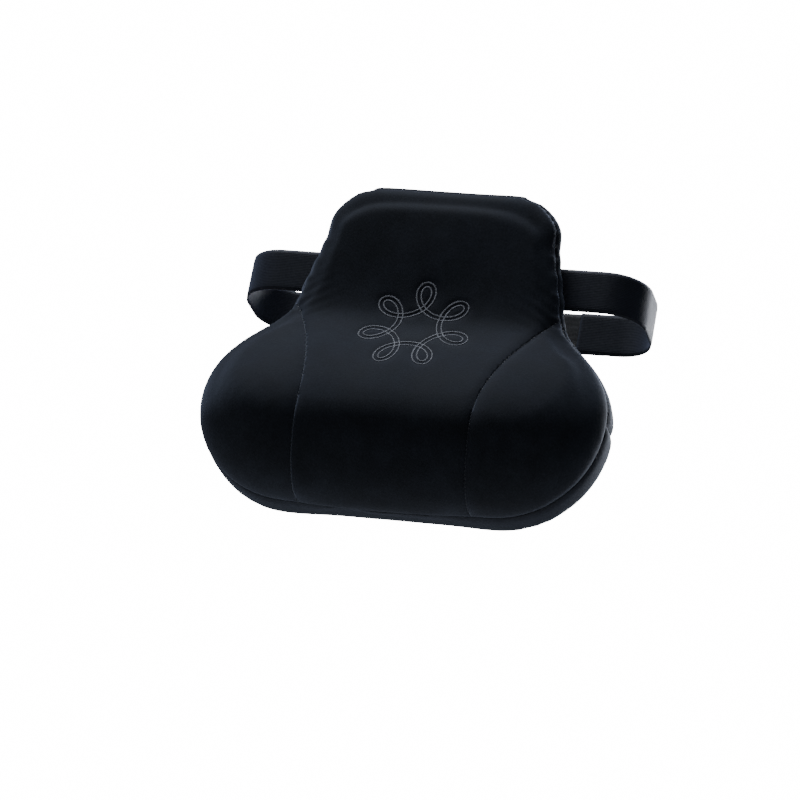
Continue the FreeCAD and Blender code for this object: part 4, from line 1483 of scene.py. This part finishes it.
def webbing_route(side):
    """The webbing's line: along the back run, round the buckle's bar, and back to its tail."""
    node = "webbing_right" if side > 0 else "webbing_left"
    low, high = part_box(node)
    lug = "buckle_plug" if side > 0 else "buckle_housing"
    lug_low, lug_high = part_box(lug)
    centre_y = 0.5 * (span("buckle_housing", 1)[0] + span("buckle_housing", 1)[1])
    lower = span("elastic_right", 1)[1] + WEBBING_MIDDLE
    upper = lower + WEBBING_LAYER
    lug_end = lug_high.x if side > 0 else lug_low.x
    lug_middle = lug_end - side * BAR_IN
    turn = lug_middle - side * FOLD_REACH
    apart = lug_middle + side * LAYERS_OPEN
    together = apart + side * LAYERS_CLOSE
    start = high.x if side > 0 else low.x
    tail = PLUG_TAIL if side > 0 else HOUSING_TAIL
    tight = FOLD - FOLD_EASE
    return bent_path(
        [
            (start, lower), (together, lower), (apart, centre_y - FOLD), (turn, centre_y - FOLD),
            (turn, centre_y + FOLD), (apart, centre_y + FOLD), (together, upper), (tail, upper),
        ],
        [GENTLE_BEND, GENTLE_BEND, tight, tight, GENTLE_BEND, GENTLE_BEND],
        step=2.0 * MM,
    )


def lean_end(elastic, side):
    """Slants the elastic's sewn end to follow the neck's edge, just inside the seam."""
    low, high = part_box("elastic_right")
    co = vertices_of(elastic)
    near = co[:, 1] < 0.5 * high.y
    share = np.clip(1.0 - (side * co[:, 0] - low.x) / LEAN_REACH, 0.0, 1.0) * near
    co[:, 0] += side * share * ((high.z - co[:, 2]) * NECK_LEAN - END_TUCK)
    set_vertices(elastic, co)


def boxed_cross(x_low, x_high, z_low, z_high, y, outward):
    """The runs of a box-and-cross sewn patch on a flat strap."""
    corners = [(x_low, z_low), (x_high, z_low), (x_high, z_high), (x_low, z_high)]
    lines = list(zip(corners, corners[1:] + corners[:1]))
    lines += [(corners[0], corners[2]), (corners[1], corners[3])]
    runs = []
    for first, last in lines:
        spots = [
            Vector((first[0] + (last[0] - first[0]) * t, y, first[1] + (last[1] - first[1]) * t))
            for t in np.linspace(0, 1, LINE_POINTS)
        ]
        runs.append((spots, [Vector((0, outward, 0))] * len(spots), False))
    return runs


class CUSHION_OT_straps(bpy.types.Operator):
    """The two elastics and the two webbings, with the patches of stitches that join them"""

    bl_idname = "cushion.straps"
    bl_label = "Straps"

    def execute(self, context):
        strap = settings("strap")
        low_z, high_z = span("elastic_left", 2)
        for side, name in ((-1.0, "left"), (1.0, "right")):
            elastic = ribbon(f"elastic_band_{name}", elastic_route(side), low_z, high_z, strap.elastic)
            lean_end(elastic, side)
            finish_piece(elastic, "elastic", replaces=[f"elastic_{name}"])
            webbing = ribbon(
                f"webbing_strap_{name}", webbing_route(side), low_z + WEBBING_INSET,
                high_z - WEBBING_INSET, strap.webbing,
            )
            finish_piece(webbing, "webbing", body=None if side > 0 else ROOT,
                         replaces=[f"webbing_{name}"])
            if side > 0:
                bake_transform(webbing)
            inner = min(abs(v) for v in span(f"elastic_{name}", 0))
            front = span(f"elastic_{name}", 1)[0] + strap.elastic + SEWN_LIFT
            low_row, high_row = low_z + STITCH_INSET, high_z - STITCH_INSET
            heights = np.linspace(low_row, high_row, LINE_POINTS)
            runs = [
                ([Vector((side * (inner + gap + (high_z - z) * NECK_LEAN), front, z)) for z in heights],
                 [Vector((0, 1, 0))] * len(heights), False)
                for gap in SEWN_ROWS
            ]
            back = span("elastic_right", 1)[1] + WEBBING_MIDDLE + 0.5 * strap.webbing + PATCH_LIFT
            runs += boxed_cross(
                side * (PATCH_INNER + STITCH_INSET), side * (PATCH_OUTER - STITCH_INSET), low_row,
                high_row, back, 1.0,
            )
            piece = stitches(
                f"strap_stitches_{name}", runs, strap.stitch * STITCH_GAP, strap.stitch,
                *STRAP_THREAD, "seam_thread",
            )
            finish_piece(piece, "thread", "seam_thread")
        return {"FINISHED"}


# ------------------------------------------------------------------ buckle, adjuster


FINE_WELD = 0.005 * MM      # as WELD, on the small moulded pieces
FLAT_ANGLE = math.radians(2.0)                  # faces that turn less than this are one face
EDGE_ANGLE = math.radians(30.0)                 # edges that turn more than this are rounded
ADJUSTER_EDGE = 1.2         # the slide's rounding, as a share of the hardware's


def moulded(node, name, slot, body, edge, segments=2):
    """A copy of a CAD solid with its moulded edges rounded."""
    piece = bpy.data.objects.new(name, NODES[node].data.copy())
    bpy.context.scene.collection.objects.link(piece)
    work = bmesh.new()
    work.from_mesh(piece.data)
    bmesh.ops.remove_doubles(work, verts=work.verts, dist=FINE_WELD)
    bmesh.ops.dissolve_limit(work, angle_limit=FLAT_ANGLE, verts=work.verts, edges=work.edges)
    work.to_mesh(piece.data)
    work.free()
    bevel = piece.modifiers.new("edges", "BEVEL")
    bevel.width = edge
    bevel.segments = segments
    bevel.limit_method = "ANGLE"
    bevel.angle_limit = EDGE_ANGLE
    flat = piece.modifiers.new("shading", "WEIGHTED_NORMAL")
    flat.keep_sharp = True
    piece = frozen(piece)
    return finish_piece(piece, slot, body=body, replaces=[node])


class CUSHION_OT_buckle(bpy.types.Operator):
    """The side-release buckle: housing, plug and its two latch arms"""

    bl_idname = "cushion.buckle"
    bl_label = "Buckle"

    def execute(self, context):
        edge = settings("hardware").edge
        for node, name, body, share, segments in (
            ("buckle_housing", "buckle_socket", ROOT, 1.6, 3),
            ("buckle_plug", "buckle_insert", "plug", 1.4, 3),
            ("latch_arm_upper", "buckle_arm_upper", "arm_upper", 1.0, 2),
            ("latch_arm_lower", "buckle_arm_lower", "arm_lower", 1.0, 2),
        ):
            moulded(node, name, "buckle_plastic", body, edge * share, segments)
        return {"FINISHED"}


class CUSHION_OT_adjuster(bpy.types.Operator):
    """The three-bar slide on the left webbing"""

    bl_idname = "cushion.adjuster"
    bl_label = "Adjuster"

    def execute(self, context):
        edge = settings("hardware").edge * ADJUSTER_EDGE
        moulded("triglide", "strap_adjuster", "buckle_plastic", "adjuster", edge)
        return {"FINISHED"}


# ------------------------------------------------------------------ zip


TAPE_EDGE = 0.15 * MM       # rounding of the tapes' edges
TAPE_REACH = 3 * MM         # the tape's points this near the zip's middle are its inner edge
TAPE_GAP = 0.15 * MM        # half the gap between the tapes under the coil
COIL_CLOSED = 0.35 * MM     # how far each row reaches in between the other's turns
COIL_INSET = 1 * MM         # how far the turns stop short of the coil's ends
COIL_DEPTH = 1.5 * MM
COIL_THREAD = 0.32 * MM     # radius of the coil's filament
TOPSTITCH = (3.4 * MM, 2.6 * MM, 0.5 * MM, 0.4 * MM)        # pitch, length, width and height
TOPSTITCH_OUT = 9.5 * MM    # from the zip's middle
TOPSTITCH_PAST = 4 * MM     # how far the line goes past the coil
TOPSTITCH_LIFT = 0.1 * MM
TOPSTITCH_POINTS = 90
BEHIND = 50 * MM            # a place behind the cushion, from which its back is nearest


def coil_tree():
    """Geometry Nodes: one turn of nylon coil at every pitch along a line."""
    tree = bpy.data.node_groups.new("coil_run", "GeometryNodeTree")
    tree.interface.new_socket(name="Geometry", in_out="INPUT", socket_type="NodeSocketGeometry")
    group_input(tree, "Pitch", "NodeSocketFloat", 1.3 * MM)
    group_input(tree, "Width", "NodeSocketFloat", 3.0 * MM)
    group_input(tree, "Depth", "NodeSocketFloat", 1.8 * MM)
    group_input(tree, "Thread", "NodeSocketFloat", 0.32 * MM)
    group_input(tree, "Material", "NodeSocketMaterial")
    tree.interface.new_socket(name="Geometry", in_out="OUTPUT", socket_type="NodeSocketGeometry")
    given = tree.nodes.new("NodeGroupInput").outputs
    path = linked(tree, "GeometryNodeMeshToCurve", {"Mesh": given["Geometry"]})
    even = linked(tree, "GeometryNodeResampleCurve", {
        "Curve": path.outputs["Curve"], "Length": given["Pitch"],
    }, mode="LENGTH")
    loop = linked(tree, "GeometryNodeCurvePrimitiveCircle", {"Resolution": 12, "Radius": 0.5})
    size = linked(tree, "ShaderNodeCombineXYZ", {"X": given["Width"], "Y": given["Depth"], "Z": 1.0})
    oval = linked(tree, "GeometryNodeTransform", {
        "Geometry": loop.outputs["Curve"], "Scale": size.outputs["Vector"],
        "Rotation": (math.radians(90), math.radians(6), math.radians(90)),
    })
    round_thread = linked(tree, "GeometryNodeCurvePrimitiveCircle", {
        "Resolution": 6, "Radius": given["Thread"],
    })
    turn = linked(tree, "GeometryNodeCurveToMesh", {
        "Curve": oval.outputs["Geometry"], "Profile Curve": round_thread.outputs["Curve"],
    })
    placed = linked(tree, "GeometryNodeInstanceOnPoints", {
        "Points": even.outputs["Curve"], "Instance": turn.outputs["Mesh"],
    })
    real = linked(tree, "GeometryNodeRealizeInstances", {"Geometry": placed.outputs["Instances"]})
    shaded = linked(tree, "GeometryNodeSetMaterial", {
        "Geometry": real.outputs["Geometry"], "Material": given["Material"],
    })
    result = tree.nodes.new("NodeGroupOutput")
    tree.links.new(shaded.outputs["Geometry"], result.inputs["Geometry"])
    return tree


class CUSHION_OT_zip(bpy.types.Operator):
    """The zip on the back: tapes, coil, stops, slider and pull, and the stitching beside it"""

    bl_idname = "cushion.zip"
    bl_label = "Zip"

    def execute(self, context):
        hardware = settings("hardware")
        for row in ("upper", "lower"):
            tape = moulded(f"zip_tape_{row}", f"tape_{row}", "zip_tape", ROOT, TAPE_EDGE, 1)
            side = 1.0 if row == "upper" else -1.0
            self.close_tape(tape, side)
            low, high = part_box(f"zip_coil_{row}")
            middle = 0.5 * (low + high)
            shift = 0.25 * side * hardware.tooth_pitch
            spots = [
                Vector((x + shift, middle.y, middle.z - side * COIL_CLOSED))
                for x in (low.x + COIL_INSET, high.x - COIL_INSET)
            ]
            line = path_piece(f"coil_{row}", [(spots, [Vector((0, 1, 0))] * 2, False)])
            coil = run_tree(line, tree_named("coil_run", coil_tree), {
                "Pitch": hardware.tooth_pitch, "Width": high.z - low.z, "Depth": COIL_DEPTH,
                "Thread": COIL_THREAD, "Material": material("zip_coil"),
            })
            finish_piece(coil, "zip_coil", replaces=[f"zip_coil_{row}"])
        for node, name, body, share in (
            ("zip_top_stops", "top_stops", ROOT, 0.3),
            ("zip_bottom_stop", "bottom_stop", ROOT, 0.3),
            ("zip_slider", "slider_body", "slider", 0.5),
            ("zip_pull", "pull_tab", "pull", 0.5),
        ):
            moulded(node, name, "zip_metal", body, hardware.edge * share)
        self.topstitch()
        return {"FINISHED"}

    @staticmethod
    def close_tape(tape, side):
        """Brings the tape's inner edge up to the zip's middle, under the coil."""
        co = vertices_of(tape)
        near = np.abs(co[:, 2] - ZIP_LEVEL) < TAPE_REACH
        co[near, 2] = ZIP_LEVEL + side * np.minimum(np.abs(co[near, 2] - ZIP_LEVEL), TAPE_GAP)
        set_vertices(tape, co)

    @staticmethod
    def topstitch():
        """A line of stitches on each back panel, along the zip."""
        end = span("zip_coil_upper", 0)[1] + TOPSTITCH_PAST
        runs = []
        for side in (1.0, -1.0):
            level = ZIP_LEVEL + side * TOPSTITCH_OUT
            flat = [Vector((x, BEHIND, level)) for x in np.linspace(-end, end, TOPSTITCH_POINTS)]
            spots, outward = on_cover(flat, TOPSTITCH_LIFT)
            runs.append((spots, outward, False))
        piece = stitches("zip_topstitch", runs, *TOPSTITCH, "seam_thread")
        finish_piece(piece, "thread", "seam_thread")


# ------------------------------------------------------------------ stage


LIGHTS = (                  # name, place, aim, size, power and colour
    ("key", (-0.45, -0.22, 1.55), (0, -0.05, -0.05), 0.7, 22.0, (0.86, 0.91, 1.0)),
    ("fill", (-0.9, -1.9, 0.6), (0, -0.05, -0.05), 1.6, 2.0, (0.92, 0.95, 1.0)),
    ("rear", (0.6, 1.9, 0.8), (0, 0.05, -0.05), 1.4, 70.0, (0.95, 0.97, 1.0)),
)
SURROUND_LIGHT = 0.06       # how much the surround lights the cushion
SURROUND_SHOWN = 16.0       # and how bright it looks behind it
FLOOR_SHOWN = 1.1           # glow of the floor where it is looked at
FLOOR_HALF = 6.0
SENSOR = 36.0               # the camera's sensor width in millimetres
CLIP = (0.05, 60.0)
VIEW_HEIGHT = 140 * MM      # the cushion's middle, above its lower edge
VIEW_DEPTH = -40 * MM       # and in front of its back face
AIM_RIGHT = 10.4 * MM       # the cushion's middle is this far right of the view's
AIM_UP = 37.8 * MM          # and this far above it


def area_light(name, place, aim, size, power, colour):
    light = bpy.data.lights.new(name, "AREA")
    light.energy = power
    light.color = colour
    light.size = size
    holder = bpy.data.objects.new(name, light)
    bpy.context.scene.collection.objects.link(holder)
    holder.location = place
    holder.rotation_mode = "QUATERNION"
    holder.rotation_quaternion = (Vector(aim) - Vector(place)).to_track_quat("-Z", "Y")


def pale_material():
    """The studio floor: matt and pale, and as bright as the surround where it is looked at."""
    made = Shader("studio_floor", (0.82, 0.82, 0.82), Roughness=0.85)
    cloud = made.noise(made.place(), 2.0, detail=2.0)
    made.to("Base Color", made.ramp(cloud, [(0.3, (0.80, 0.80, 0.80)), (0.7, (0.86, 0.86, 0.86))]))
    seen = made.node("LightPath").outputs["Is Camera Ray"]
    made.to("Emission Color", made.ramp(cloud, [(0.3, (0.80, 0.80, 0.81)), (0.7, (0.84, 0.84, 0.84))]))
    made.to("Emission Strength", made.math("MULTIPLY", seen, FLOOR_SHOWN))
    return made.material


def make_world():
    """A pale surround that lights the fabric only a little, and shows white behind it."""
    world = bpy.data.worlds.new("studio")
    world.use_nodes = True
    tree = world.node_tree
    background = tree.nodes["Background"]
    background.inputs["Color"].default_value = (0.86, 0.9, 1.0, 1.0)
    background.inputs["Strength"].default_value = SURROUND_LIGHT
    shown = tree.nodes.new("ShaderNodeBackground")
    shown.inputs["Color"].default_value = (1.0, 1.0, 1.0, 1.0)
    shown.inputs["Strength"].default_value = SURROUND_SHOWN
    path = tree.nodes.new("ShaderNodeLightPath")
    mix = tree.nodes.new("ShaderNodeMixShader")
    tree.links.new(path.outputs["Is Camera Ray"], mix.inputs["Fac"])
    tree.links.new(background.outputs[0], mix.inputs[1])
    tree.links.new(shown.outputs[0], mix.inputs[2])
    tree.links.new(mix.outputs[0], tree.nodes["World Output"].inputs["Surface"])
    bpy.context.scene.world = world


def camera_axes(stage):
    """The camera's right, up and back directions."""
    azimuth, elevation, roll = (
        math.radians(a) for a in (stage.azimuth, stage.elevation, stage.roll)
    )
    back = Vector((
        math.sin(azimuth) * math.cos(elevation),
        -math.cos(azimuth) * math.cos(elevation),
        math.sin(elevation),
    ))
    level = Vector((math.cos(azimuth), math.sin(azimuth), 0))
    upright = back.cross(level)
    right = level * math.cos(roll) - upright * math.sin(roll)
    up = level * math.sin(roll) + upright * math.cos(roll)
    return right, up, back


class CUSHION_OT_stage(bpy.types.Operator):
    """Camera, soft studio lights, pale floor and surround"""

    bl_idname = "cushion.stage"
    bl_label = "Stage"

    def execute(self, context):
        stage = settings("stage")
        right, up, back = camera_axes(stage)
        middle = Vector((0, VIEW_DEPTH, LOWER_EDGE + VIEW_HEIGHT))
        aim = middle - right * AIM_RIGHT - up * AIM_UP
        lens = bpy.data.cameras.new("camera")
        lens.sensor_width = SENSOR
        lens.lens = SENSOR * stage.distance / stage.scale
        lens.clip_start, lens.clip_end = CLIP
        holder = bpy.data.objects.new("camera", lens)
        context.scene.collection.objects.link(holder)
        turn = Matrix((right, up, back)).transposed()
        holder.matrix_world = Matrix.Translation(aim + back * stage.distance) @ turn.to_4x4()
        context.scene.camera = holder
        for light in LIGHTS:
            area_light(*light)
        corners = ((-1, -1), (1, -1), (1, 1), (-1, 1))
        floor = new_piece(
            "floor", [(x * FLOOR_HALF, y * FLOOR_HALF, stage.floor) for x, y in corners],
            [(0, 1, 2, 3)],
        )
        floor.data.materials.append(pale_material())
        make_world()
        return {"FINISHED"}


# ------------------------------------------------------------------ panel and registration


OPERATORS = (
    CUSHION_OT_cover,
    CUSHION_OT_inside,
    CUSHION_OT_embroidery,
    CUSHION_OT_seams,
    CUSHION_OT_straps,
    CUSHION_OT_buckle,
    CUSHION_OT_adjuster,
    CUSHION_OT_zip,
    CUSHION_OT_stage,
)
GROUPS = {
    "cover": CushionSettings,
    "emblem": EmblemSettings,
    "strap": StrapSettings,
    "hardware": HardwareSettings,
    "stage": StageSettings,
}


class CUSHION_PT_pieces(bpy.types.Panel):
    """Lists the pieces in the order that they are made"""

    bl_idname = "CUSHION_PT_pieces"
    bl_label = "Strap Cushion"
    bl_space_type = "VIEW_3D"
    bl_region_type = "UI"
    bl_category = "Cushion"

    def draw(self, context):
        for operator in OPERATORS:
            self.layout.operator(operator.bl_idname)


def register():
    for made in (*GROUPS.values(), *OPERATORS, CUSHION_PT_pieces):
        bpy.utils.register_class(made)
    for name, group in GROUPS.items():
        setattr(bpy.types.Scene, "cushion_" + name, PointerProperty(type=group))


def unregister():
    for name in GROUPS:
        delattr(bpy.types.Scene, "cushion_" + name)
    for made in (CUSHION_PT_pieces, *OPERATORS[::-1], *GROUPS.values()):
        bpy.utils.unregister_class(made)


def main():
    """Makes every piece in its order."""
    register()
    for operator in OPERATORS:
        group, name = operator.bl_idname.split(".")
        getattr(getattr(bpy.ops, group), name)()


if __name__ == "__main__":
    main()
